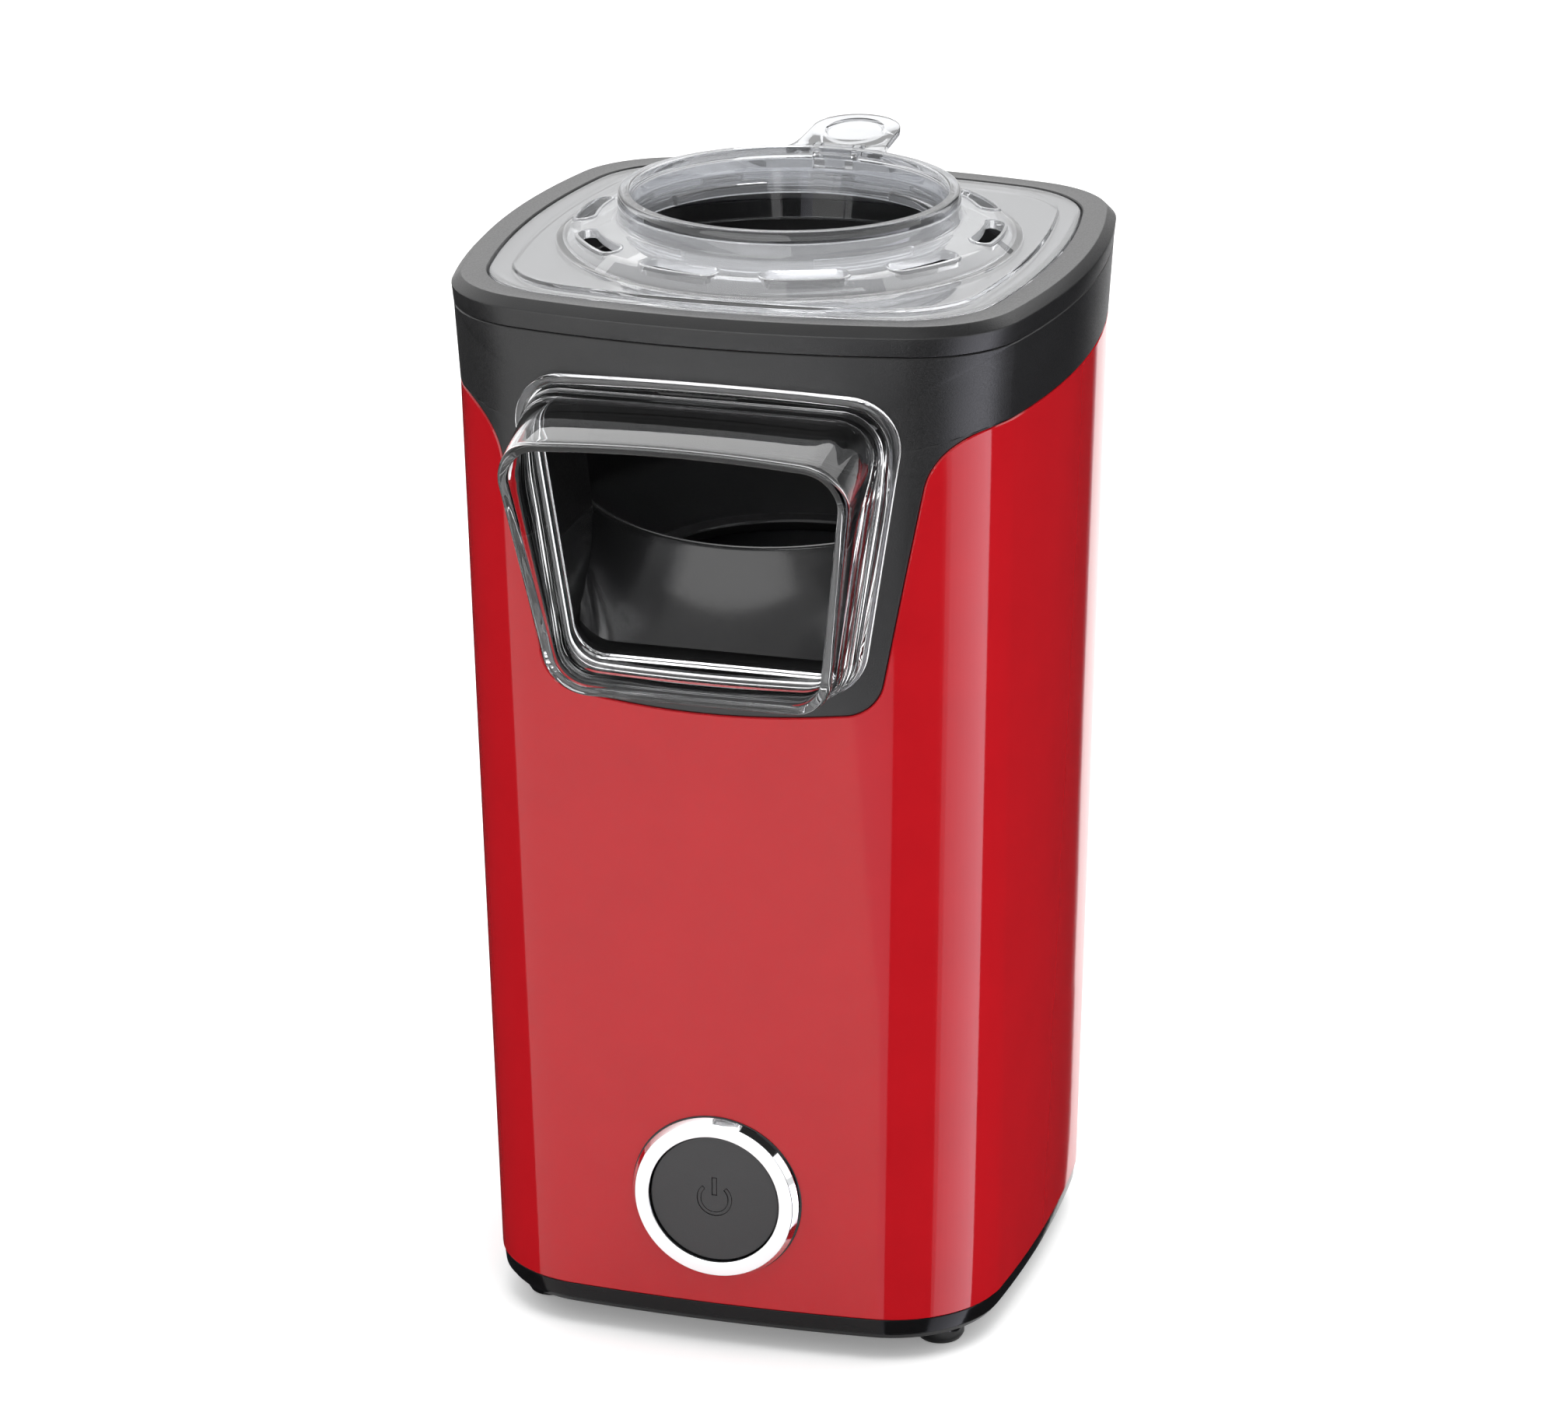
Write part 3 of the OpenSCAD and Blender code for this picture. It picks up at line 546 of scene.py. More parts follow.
def moulded(name, colour, rough, grain_mm=0.4, grain=0.05, peel_mm=None, peel=0.0, mottle=0.08,
            mottle_mm=18, rough_swing=0.05, metallic=0.0, specular=0.5):
    """Moulded, painted or plated surface with fine grain, broad tone and uneven gloss."""
    mat, tree, bsdf = new_material(name)
    coord = add(tree, "TexCoord")
    ramp = add(tree, "ValToRGB")
    tones = (1 - mottle, 1 + mottle)
    for element, position, tone in zip(ramp.color_ramp.elements, NOISE_SPAN, tones):
        element.position = position
        element.color = [c * tone for c in colour] + [1]
    tree.links.new(noise(tree, coord, mottle_mm), ramp.inputs["Fac"])
    tree.links.new(ramp.outputs["Color"], bsdf.inputs["Base Color"])
    fine = noise(tree, coord, grain_mm, 2.0)
    swing = (max(0.0, rough - rough_swing), rough + rough_swing)
    tree.links.new(map_range(tree, fine, NOISE_SPAN, swing), bsdf.inputs["Roughness"])
    wave = bump(tree, noise(tree, coord, peel_mm, 1.0), peel) if peel_mm else None
    tree.links.new(bump(tree, fine, grain, wave), bsdf.inputs["Normal"])
    bsdf.inputs["Metallic"].default_value = metallic
    bsdf.inputs["Specular IOR Level"].default_value = specular
    return mat


def clear_plastic(name, colour, haze):
    """Clear moulded plastic with a little haze and a slight unevenness of its skin."""
    rough, fine_mm, wave, wave_mm = 0.006, 3.0, 0.004, 14.0
    mat, tree, bsdf = new_material(name)
    bsdf.inputs["Base Color"].default_value = list(colour) + [1]
    bsdf.inputs["Transmission Weight"].default_value = 1.0 - haze
    bsdf.inputs["IOR"].default_value = ACRYLIC_IOR
    coord = add(tree, "TexCoord")
    gloss = map_range(tree, noise(tree, coord, fine_mm), (0, 1), (0.0, 2 * rough))
    tree.links.new(gloss, bsdf.inputs["Roughness"])
    skin = bump(tree, noise(tree, coord, wave_mm, 1.0), wave)
    tree.links.new(skin, bsdf.inputs["Normal"])
    return mat


RED = moulded("red_gloss", (0.440, 0.0068, 0.0118), 0.07, grain_mm=0.25, grain=0.0006,
              peel_mm=5.0, peel=0.004, mottle=0.03, rough_swing=0.015, specular=0.43)
SATIN = moulded("black_satin", (0.011, 0.011, 0.0115), 0.36, grain_mm=0.45, grain=0.035,
                mottle=0.12, rough_swing=0.06)
BASE = moulded("black_base", (0.006, 0.006, 0.0065), 0.14, grain_mm=0.5, grain=0.003,
               mottle=0.1, rough_swing=0.03, specular=0.2)
GLOSS = moulded("black_gloss", (0.008, 0.008, 0.009), 0.10, grain_mm=0.5, grain=0.003,
                mottle=0.1, rough_swing=0.03)
# Two copies of the hood's one black plastic. This lighter, glossier one is painted light, for the
# upward faces of the ramp and crest and the mouth's rim, where light falls and highlights are
# caught
HOOD_PAINTED_LIGHT = moulded("black_guide", (0.009, 0.009, 0.0094), 0.19, grain_mm=0.6, grain=0.010,
                mottle=0.15)
# This darker, duller copy is painted shade, for the rest of the hood's inside
HOOD_PAINTED_SHADE = moulded("black_hood_painted_shade", (0.004, 0.004, 0.0042), 0.45, grain_mm=0.6, grain=0.03,
                 mottle=0.15, specular=0.15)
CLEAR = clear_plastic("clear", (0.965, 0.972, 0.985), 0.0)
LID_CLEAR = clear_plastic("lid_clear", (0.94, 0.95, 0.97), 0.12)
PLATE_CLEAR = clear_plastic("plate_clear", (0.94, 0.95, 0.97), 0.05)
TAB_CLEAR = clear_plastic("tab_clear", (0.62, 0.63, 0.65), 0.02)
RING_CLEAR = clear_plastic("ring_clear", (0.74, 0.75, 0.77), 0.03)
BUTTON = moulded("button_dark", (0.022, 0.022, 0.0235), 0.42, grain_mm=0.35, grain=0.02,
                 mottle=0.06)
CHROME = moulded("chrome", (0.90, 0.91, 0.92), 0.05, grain=0.0008, mottle=0.02, rough_swing=0.02,
                 metallic=1.0)
STEEL = moulded("steel", (0.55, 0.56, 0.57), 0.32, grain_mm=0.3, grain=0.004, metallic=1.0)
# Aluminium made dark, as dark as the chamber looks inside the machine
DARK_ALU = moulded("dark_aluminium", (0.10, 0.10, 0.105), 0.5, grain_mm=0.5, grain=0.008,
                   mottle=0.1, metallic=1.0)
MICA = moulded("mica", (0.56, 0.50, 0.38), 0.5, grain_mm=1.2, grain=0.02, mottle=0.2, mottle_mm=6)
WIRE = moulded("wire", (0.30, 0.27, 0.24), 0.4, grain_mm=0.3, grain=0.004, mottle=0.15,
               mottle_mm=5, metallic=1.0)
RUBBER = moulded("rubber", (0.012, 0.012, 0.012), 0.6, grain=0.02, mottle=0.15)
BOARD = moulded("board", (0.03, 0.11, 0.045), 0.45, grain_mm=0.8, grain=0.01, mottle=0.2,
                mottle_mm=6)
WHITE = moulded("white_plastic", (0.70, 0.69, 0.65), 0.4, grain=0.01, mottle=0.04)
BRASS = moulded("brass_can", (0.62, 0.50, 0.30), 0.3, grain_mm=0.3, grain=0.003, mottle=0.1,
                metallic=1.0)


# Camera

def add_camera():
    data = bpy.data.cameras.new("camera")
    data.sensor_fit = "HORIZONTAL"
    data.sensor_width = SENSOR_W
    data.lens = SENSOR_W * FOCAL_PX / PHOTO_W
    data.clip_end = 50
    back = Vector((sin(YAW) * cos(PITCH), -cos(YAW) * cos(PITCH), sin(PITCH)))
    right = Vector((cos(YAW), sin(YAW), 0))
    up = back.cross(right)
    right, up = cos(ROLL) * right + sin(ROLL) * up, -sin(ROLL) * right + cos(ROLL) * up
    turn = Matrix((right, up, back)).transposed().to_4x4()
    cam = new_object("camera", data)
    cam.matrix_world = Matrix.Translation(CAMERA_AT) @ turn
    bpy.context.scene.camera = cam


add_camera()


# Making the case

def column_tops(g, tail):
    """Right half of the case's columns where they meet the border grown by g, as points (u, z)."""
    front = [(front_u(x, z), z) for x, z in border(g)]
    return front + [(u, Z_BAND - g) for u in tail]


def mirrored(row):
    """A right half row from the front's middle, with its left half set before it."""
    return [(-u, *rest) for u, *rest in row[:0:-1]] + row


def hole_patch(skin, loop, z0, r):
    """Sheet between a loop on the front and a round hole at height z0 in its middle."""
    rows, steps = [loop], 5
    flat = [(case_point(u, z)[0], z) for u, z, _ in loop]
    for s in range(1, steps + 1):
        t = s / steps
        row = []
        for x, z in flat:
            d = Vector((x, z - z0))
            d = d * (1 - t) + d.normalized() * r * t
            row.append((front_u(d.x, z0 + d.y), z0 + d.y, 0.0))
        rows.append(row)
    skin.grid(rows, closed=True)


def make_shell():
    skin = Skin(lambda z: 0.0)
    tail = back_columns(column_tops(0.0, [])[-1][0])[1:]
    rim = mirrored(column_tops(GAP, tail))
    top = mirrored(column_tops(GAP + EDGE, tail))
    z_first, z_final, z_plain = 19, 71, 75      # the button's patch, and where rows start to bend

    def row(z, depth=0.0):
        return [(u, z, depth) for u, _ in top]

    low = [Z_SHELL + EDGE, 16, z_first] + list(range(23, z_final + 1, 4)) + [z_plain]
    rows = [row(Z_SHELL, EDGE)] + [row(z) for z in low]
    for t in (0.18, 0.38, 0.58, 0.76, 0.9, 0.965, 1.0):
        rows.append([(u, lerp(z_plain, z, t), 0.0) for u, z in top])
    rows.append([(u, z, EDGE) for u, z in rim])
    first, final = rows.index(row(z_first)), rows.index(row(z_final))
    a, b = len(top) // 2 - 12, len(top) // 2 + 12
    for i in range(len(rows) - 1):
        if first <= i < final:
            skin.grid([rows[i][:a + 1], rows[i + 1][:a + 1]])
            skin.grid([rows[i][b:], rows[i + 1][b:]])
        else:
            skin.grid([rows[i], rows[i + 1]])
    loop = rows[first][a:b + 1] + [rows[i][b] for i in range(first + 1, final)]
    loop += rows[final][a:b + 1][::-1] + [rows[i][a] for i in range(final - 1, first, -1)]
    hole_patch(skin, loop, BUTTON_Z, BUTTON_HOLE)
    obj = solid("red_shell", skin.close())
    combine(obj, rod(GLAND_HOLE, -95, -55, 48, (0, 0, GLAND_Z), "y"), "DIFFERENCE")
    clean(obj)
    return obj


def loop_hit(loop, cx, cz, x, z):
    """Where the ray from the centre towards (x, z) leaves a loop."""
    d = Vector((x - cx, z - cz)).normalized()
    best = None
    for (ax, az), (bx, bz) in zip(loop, loop[1:] + loop[:1]):
        e = Vector((bx - ax, bz - az))
        det = d.x * -e.y + e.x * d.y
        if abs(det) < 1e-12:
            continue
        px, pz = ax - cx, az - cz
        t = (px * -e.y + e.x * pz) / det
        s = (d.x * pz - d.y * px) / det
        if t > 0 and -1e-9 <= s <= 1 + 1e-9 and (best is None or t > best):
            best = t
    return cx + d.x * best, cz + d.y * best


def make_collar():
    skin = Skin(flare_at)
    wing = spread(Z_BAND, Z_SEAM, 8)
    wing = [Z_BAND, Z_BAND + EDGE] + wing[1:-1] + [Z_SEAM - EDGE, Z_SEAM]
    end_u = front_u(border(0)[-1][0], Z_BAND, 0)

    def side(z, inset):
        return case_point(end_u, z, 0, flare_at(z))[0] - inset

    def loop(inset):
        right = border(-inset)[:-1]
        right += [(side(z, inset), min(max(z, Z_BAND + inset), Z_SEAM - inset)) for z in wing]
        seam = side(Z_SEAM, inset)
        right += [(seam * t, Z_SEAM - inset) for t in spread(1, 0, 26)[1:]]
        return both_sides(right)

    def on_case(x, z, depth=0.0):
        return front_u(x, z, flare_at(z)), z, depth

    # The front, from its outer edge in to the hole round the spout
    outer, inner = loop(0.0), loop(EDGE)
    hole = opening(CHUTE_WALL + 0.45)
    centre = (0.0, 244.0)
    target, last = [], -pi
    for x, z in inner[:len(inner) // 2 + 1]:
        turn = atan2(z - centre[1], x)
        if turn > last + 1e-6:
            target.append(loop_hit(hole, *centre, x, z))
            last = turn
        else:
            target.append(target[-1])
    target = both_sides(target)
    free = len(border(0)) - 1
    rows = [[]]
    for i, (x, z) in enumerate(outer):
        k = min(i, len(outer) - i)
        inside = free < k < free + len(wing) - 1
        rows[0].append(on_case(x, z, 0.0 if inside else EDGE))
    for t in (0.0, 0.12, 0.3, 0.5, 0.7, 0.87, 1.0):
        rows.append([on_case(lerp(x, hx, t), lerp(z, hz, t))
                     for (x, z), (hx, hz) in zip(inner, target)])
    skin.grid(rows, closed=True)
    # The band round the sides and the back
    back = back_columns(end_u)
    across = back + [LAP - u for u in back[-2::-1]]
    band = []
    for i, z in enumerate(wing):
        depth = EDGE if i in (0, len(wing) - 1) else 0.0
        start = on_case(side(z, 0), z)[0]
        band.append([(u, z, depth) for u in (start, *across[1:-1], LAP - start)])
    skin.grid(band)
    return solid("collar_skin", skin.close())


def section_ring(shape, z, g):
    return [(*section_point(shape, g, u), z) for u in ring_params()]


def case_ring(z, g, widen=FLARE):
    return [case_point(u, z, g, widen) for u in ring_params()]


def round_ring(r, z):
    ring = []
    for u in ring_params():
        x, y = section_point(HIGH, 0, u)
        ring.append((r * x / hypot(x, y), r * y / hypot(x, y), z))
    return ring


def make_bezel():
    outer = fillet([(-0.4, Z_FRAME, 0.0), (0.0, Z_FRAME, 0.25), (0.4, 286.1, 0.7),
                    (-2.1, Z_TOP, 0.6), (-4.0, Z_TOP, 0.0)])
    pocket = ((0.7, Z_TOP), (0.25, 288.5), (0.0, 288.2), (0.0, 285.9), (-0.25, 285.62),
              (-0.8, Z_LEDGE))
    mouth = ((61.4, Z_LEDGE), (60.95, 285.45), (60.8, 285.1), (60.8, 283.3))
    skirt = ((-4.4, 283.2), (-4.4, 276), (-2.6, 276), (-2.6, Z_FRAME))
    rings = [case_ring(z, g) for g, z in outer]
    rings += [section_ring(POCKET, z, g) for g, z in pocket]
    rings += [round_ring(r, z) for r, z in mouth]
    rings += [case_ring(z, g, 0) for g, z in skirt]
    return solid("top_bezel", loft(rings))


def make_base():
    tray = fillet([(-2.7, Z_BASE, 1.2), (-1.1, 8.3, 0.5), (-1.15, 8.55, 0.1), (-0.75, 8.6, 0.2),
                   (-0.35, 12.85, 0.3), (-2.5, 12.85, 0), (-2.5, 18, 0.2), (-4.4, 18, 0.2),
                   (-4.4, Z_BASE_FLOOR, 0.4), (-6, Z_BASE_FLOOR, 0)])
    rings = [case_ring(Z_BASE, -5, 0)] + [case_ring(z, g, 0) for g, z in tray]
    obj = solid("base_tray", loft(rings, close=False))
    pitch, half, r = 9.0, 24.4, 1.6
    cuts = []
    for i in range(-4, 5):
        slot = arc(pitch * i, half, r, 0, 180, 8) + arc(pitch * i, -half, r, 180, 360, 8)
        cuts.append(prism(slot, 4, 12))
    for sx in SIDES:
        for sy in SIDES:
            cuts.append(rod(3.15, 4, 8.2, 40, (WELL_AT[0] * sx, WELL_AT[1] * sy, 0)))
    combine(obj, merge(*cuts), "DIFFERENCE")
    bracket_post = fillet([(1.6, 8.4, 0), (6.2, 8.4, 0), (5, 12, 1.5), (5, 51.5, 0.4),
                           (1.6, 51.5, 0.2)])
    board_post = fillet([(0.8, 8.4, 0), (3, 8.4, 0), (3, 20.4, 0.3), (0.8, 20.4, 0)])
    posts = []
    for sx in SIDES:
        for sy in SIDES:
            posts.append(lathe(bracket_post, 32, (POST_AT * sx, POST_AT * sy, 0)))
        posts.append(lathe(board_post, 24, (16 * sx, 50, 0)))
    combine(obj, merge(*posts), "UNION")
    clean(obj)
    return obj


def make_feet():
    profile = fillet([(0, 0, 0), (5.6, 0, 1.0), (6.5, 1.6, 1.2), (6.5, 4.6, 0.2), (6.2, 4.75, 0.1),
                      (6.2, 5.95, 0), (0, 5.95, 0)])
    feet = [lathe(profile, 56, (FOOT_AT[0] * sx, FOOT_AT[1] * sy, 0))
            for sx in SIDES for sy in SIDES]
    return solid("rubber_feet", merge(*feet))


# Making the spout and the hood

SPOUT_TOP = [ease((z - 246) / 16) for _, z in opening()]    # 1 on the spout's roof, 0 below it


def listed(value):
    return value if isinstance(value, list) else [value] * len(SPOUT_TOP)


def outline_points(make, gs):
    """Outline whose point i is grown by gs[i]."""
    made = {g: make(g) for g in set(gs)}
    return [made[g][i] for i, g in enumerate(gs)]


def spout_ring(t, g):
    """Ring on the spout, t from its rear edge to its lip; t and g may list one value a point."""
    ts, gs = listed(t), listed(g)
    rear = outline_points(opening, gs)
    front = outline_points(lambda v: lip_outline(v - CHUTE_WALL), gs)
    ring = []
    for u, top, (x0, z0), (x1, z1) in zip(ts, SPOUT_TOP, rear, front):
        lip_y = LIP_BACK * (Z_LIP[1] - z1) / (Z_LIP[1] - Z_LIP[0]) - LIP_REACH
        bow = SPOUT_BOW * 4 * u * max(0.0, 1 - u) * top
        ring.append((lerp(x0, x1, u), lerp(-SPOUT_BACK, lip_y, u), lerp(z0, z1, u) + bow))
    return ring


def flange_ring(g, out):
    return [(x, front_y(x, z) - out, z) for x, z in outline_points(opening, listed(g))]


def make_chute():
    steps, flange_out = 5, 4.2
    drop = [lerp(0.34, 0.05, top) for top in SPOUT_TOP]
    foot = [CHUTE_WALL + steps * d for d in drop]
    rear, front = spout_ring(0, CHUTE_WALL), spout_ring(1, CHUTE_WALL)
    start = [(p[1] - a[1]) / (b[1] - a[1])
             for p, a, b in zip(flange_ring(foot, flange_out), rear, front)]

    def wall_ring(s, g):
        return spout_ring([lerp(a, 0.935, b) for a, b in zip(start, s)], g)

    inside = [(0, 0.25), (0.01, 0.0)] + [(t, 0.0) for t in (0.2, 0.4, 0.6, 0.8, 0.93)]
    lip = [(0.965, -0.04), (0.985, 0.02), (0.996, 0.25), (1.0, 0.6), (1.0, 1.1), (1.0, 1.6),
           (0.996, 2.05), (0.985, 2.35), (0.965, 2.45), (0.94, 2.3)]
    rings = [spout_ring(t, g) for t, g in inside + lip]
    # The steps of the outer wall, from the lip back to the flange
    for k in range(steps - 1, -1, -1):
        at = [lerp(0.08 + 0.14 * k, 0.05 + 0.04 * k, top) for top in SPOUT_TOP]
        for shift, part in ((0.012, 0.0), (0.005, 0.1), (-0.005, 0.9), (-0.012, 1.0)):
            rings.append(wall_ring([v + shift for v in at],
                                   [CHUTE_WALL + d * (steps - 1 - k + part) for d in drop]))
    hollow = ((0.0, flange_out), (0.04, 3.55), (0.13, 3.05), (0.3, 2.74), (0.5, 2.62))
    rings += [flange_ring([f + more for f in foot], out) for more, out in hollow]
    flange = ((4.44, 2.55), (4.56, 2.25), (4.6, 1.9), (4.6, 0.6), (4.5, 0.28), (4.3, 0.18),
              (2.9, 0.18), (2.35, 0.1), (2.2, -0.3), (2.2, -2.0))
    rings += [flange_ring(g, out) for g, out in flange]
    rings += [spout_ring(0.02, CHUTE_WALL), spout_ring(0, CHUTE_WALL - 0.25)]
    return solid("spout_chute", loft(rings))


def make_ramp():
    """Ruled surface from a straight foot to a rounded crest in the hood's wall, closed below."""
    n, swing, round_r, crest_r, top_lean = 48, radians(47.5), 1.3, 60.4, radians(18)
    foot_half, foot_y, foot_z, low_z = 36.6, -69.6, 197.2, 188.0

    def crest(s, lean):
        a = swing * s
        r = crest_r - round_r + round_r * cos(lean)
        z = Z_CREST + 0.15 * crest_r * (1 - cos(a)) - round_r + round_r * sin(lean)
        return Vector((r * sin(a), -r * cos(a), z))

    across = spread(-1, 1, n)
    rows = []
    for t in spread(0, 1, 16):
        row = []
        for s in across:
            lift = 5.0 * max(0.0, abs(s) - 0.75) ** 2 / 0.25 ** 2
            q = Vector((foot_half * s, foot_y, foot_z + lift)).lerp(crest(s, top_lean), t)
            bow = 1.2 * sin(pi * t)
            row.append((q.x, q.y + bow, q.z - 0.35 * bow))
        rows.append(row)
    rows += [[tuple(crest(s, a)) for s in across] for a in spread(top_lean, pi, 9)[1:]]
    inner = [tuple(crest(s, pi)) for s in across]
    front = [[(x, -69.0, z) for x, _, _ in rows[0]] for z in (low_z, 196.2)]
    back = [[(x, y, z - 6) for x, y, z in inner], [(x, y, low_z) for x, y, _ in inner]]
    sheet = front + rows + back
    cols = n + 1
    faces = grid_faces(len(sheet), cols, True, False)
    faces.append([i * cols for i in range(len(sheet))])
    faces.append([i * cols + n for i in range(len(sheet))][::-1])
    return [q for row in sheet for q in row], faces


def make_hood():
    tube = fillet([(38.5, Z_HOOD, 0.3), (MOUTH_R + 2, Z_HOOD, 0.2), (MOUTH_R + 2, 196.8, 0),
                   (61.6, 208.8, 0), (61.6, Z_HOOD, 0.0), (HOOD_R, Z_HOOD, 0.3),
                   (HOOD_R, 283.05, 0.3), (HOOD_IN, 283.05, 0.4), (HOOD_IN, 211.3, 5.0),
                   (MOUTH_R, Z_MOUTH, 0.5), (39.0, 198.1, 0.5), (38.5, 197.5, 0.3)], 5)
    obj = solid("hood_guide", lathe(tube, 158))

    def box_prism(g, y0, y1):
        return loft([[(x, -y, z) for x, z in opening(g)] for y in (y0, y1)], close=False)

    # The channel round the opening, and the passage through it: whole in front, above the
    # funnel in the tube. The steps of each lathe differ, so that no facets coincide.
    block = solid("block", box_prism(2.0, 40.0, CHANNEL_FRONT))
    combine(block, rod(61.8, 150, 330, 162), "DIFFERENCE")
    combine(obj, taken(block), "UNION")
    passage = solid("passage", box_prism(0.0, 22.0, CHANNEL_FRONT + 1))
    combine(passage, lathe([(0, 180), (59.4, 180), (59.4, 219.0), (0, 226)], 154), "DIFFERENCE")
    combine(obj, taken(passage), "DIFFERENCE")
    combine(obj, make_ramp(), "UNION")
    clean(obj)
    return obj


# Making the button

BUTTON_Y = -lerp(LOW[0], HIGH[0], (BUTTON_Z - Z_SHELL) / (Z_SEAM - Z_SHELL))


def button_ring(r, out):
    """Flat ring about the button's axis, this far out from the middle of its place on the case."""
    return [(r * cos(a), BUTTON_Y - out, BUTTON_Z + r * sin(a)) for a in turns(BUTTON_STEPS)]


def seat_ring(r, out):
    """Ring about the button's axis that lies on the case."""
    return [(x, front_y(x, z) - out, z) for x, _, z in button_ring(r, out)]


def make_button_ring():
    seat = ((20.9, 0.06), (23.3, 0.06), (23.4, 0.12), (23.35, 0.2), (22.95, 0.22))
    profile = fillet([(22.95, 1.0, 0), (21.8, 2.8, 0.4), (18.0, 2.8, 0.3), (18.0, -6.8, 0.2),
                      (20.55, -6.8, 0.2), (20.55, -1.0, 0)], 5)
    rings = [seat_ring(r, out) for r, out in seat] + [button_ring(r, out) for r, out in profile]
    return solid("chrome_bezel", loft(rings))


def power_mark(inset, low, high):
    """The button's power mark, drawn in by inset, between two heights."""
    r_out, r_in, r_mid, a0, a1, n = 4.9, 3.65, 4.3, 133, 407, 44
    turn = degrees(inset / r_mid)
    loop = arc(0, 0, r_out - inset, a0 + turn, a1 - turn, n)
    loop += arc(0, 0, r_in + inset, a1 - turn, a0 + turn, n)
    half, y0, y1 = 0.75 - inset, 1.0 + inset, 6.2 - inset
    bar = [(half, y0), (half, y1), (-half, y1), (-half, y0)]
    return merge(*[loft([[(x, BUTTON_Y - out, BUTTON_Z + y) for x, y in shape]
                         for out in (low, high)], close=False) for shape in (loop, bar)])


def make_button():
    profile = fillet([(0, BUTTON_FACE, 0), (BUTTON_R, BUTTON_FACE, 0.6), (BUTTON_R, -5.0, 0.3),
                      (4.0, -5.0, 0.4), (4.0, -17.2, 0.5), (0, -17.2, 0)], 5)
    rings = [button_ring(max(r, 0.0005), out) for r, out in profile]
    obj = solid("power_button", loft(rings, close=False))
    combine(obj, power_mark(0.0, BUTTON_FACE - 0.55, BUTTON_FACE + 1), "DIFFERENCE")
    combine(obj, power_mark(0.24, BUTTON_FACE - 1.2, BUTTON_FACE - 0.1), "UNION")
    clean(obj)
    return obj


def make_spring():
    """Return spring of the button: a wire wound about the button's axis."""
    r, wire, coils, steps = 8.0, 0.5, 4, 40
    y0, y1 = SPRING_FRONT / MM - AXIS_Y + wire, SPRING_BACK / MM - AXIS_Y - wire
    section = [(r + wire * cos(b), wire * sin(b)) for b in spread(0, 2 * pi, 10)[:-1]]
    rings = []
    for i in range(coils * steps + 1):
        a = 2 * pi * i / steps
        y = lerp(y0, y1, i / (coils * steps))
        rings.append([(q * cos(a), y + rise, BUTTON_Z + q * sin(a)) for q, rise in section])
    return solid("return_spring", loft(rings, close=False))


# Making the lid, the filling ring and the tab

def vent(mid, profile):
    """Closed slot shape over the dome at angle mid, of rings (growth, height over the dome)."""
    r, half = 53.9, 2.4
    reach = 8.5 / r
    ends = [(cos(b), sin(b)) for b in spread(0, pi, 10)[1:-1]]
    rings = []
    for d, up in profile:
        w = half + d
        loop = [(r + half + d, mid + a) for a in spread(-reach, reach, 14)]
        loop += [(r + w * c, mid + reach + w * e / r) for c, e in ends]
        loop += [(r - half - d, mid + a) for a in spread(reach, -reach, 14)]
        loop += [(r - w * c, mid - reach - w * e / r) for c, e in ends]
        rings.append([(q * cos(a), q * sin(a), Z_DOME - DOME_FALL * (q - DOME_R) + up)
                      for q, a in loop])
    return loft(rings, close=False)


def make_lid():
    edge = fillet([(-4.0, Z_LID, 0), (0.0, Z_LID, 0.5), (0.0, Z_LID_EDGE, 0.7),
                   (-4.0, Z_LID_EDGE, 0)])
    step = fillet([(1.2, Z_LID_EDGE, 0), (0.15, Z_LID_EDGE, 0.3), (-0.15, Z_PLATE, 0.4),
                   (-1.4, Z_PLATE, 0)])
    dome = fillet([(61.9, Z_PLATE, 0), (61.2, Z_PLATE, 1.2), (56.5, 292.9, 5.0),
                   (DOME_R, Z_DOME, 0.0), (45.1, 294.9, 1.6), (45.1, Z_NECK, 0.2),
                   (43.6, Z_NECK, 0.3), (43.6, 293.4, 1.0), (46.5, 292.5, 0.5), (54.8, 291.1, 4.0),
                   (58.2, 288.6, 1.5), (58.2, 277.75, 0.6), (60.2, 277.75, 0.6),
                   (60.2, Z_LID, 0.4), (60.8, Z_LID, 0)])
    rings = [section_ring(LID_EDGE, z, g) for g, z in edge]
    rings += [section_ring(LID_STEP, z, g) for g, z in step]
    rings += [round_ring(r, z) for r, z in dome]
    obj = solid("clear_lid", loft(rings))
    rim = ((1.1, -0.7), (1.05, 0.0), (0.9, 0.28), (0.6, 0.38), (0.3, 0.38))
    slot = ((0.3, -6.0), (0.1, -1.5), (0.0, 0.0), (0.14, 0.28), (0.45, 0.6))
    angles = [radians(36 * i + 2.4) for i in range(10)]
    combine(obj, merge(*[vent(mid, rim) for mid in angles]), "UNION")
    combine(obj, merge(*[vent(mid, slot) for mid in angles]), "DIFFERENCE")
    clean(obj)
    return obj


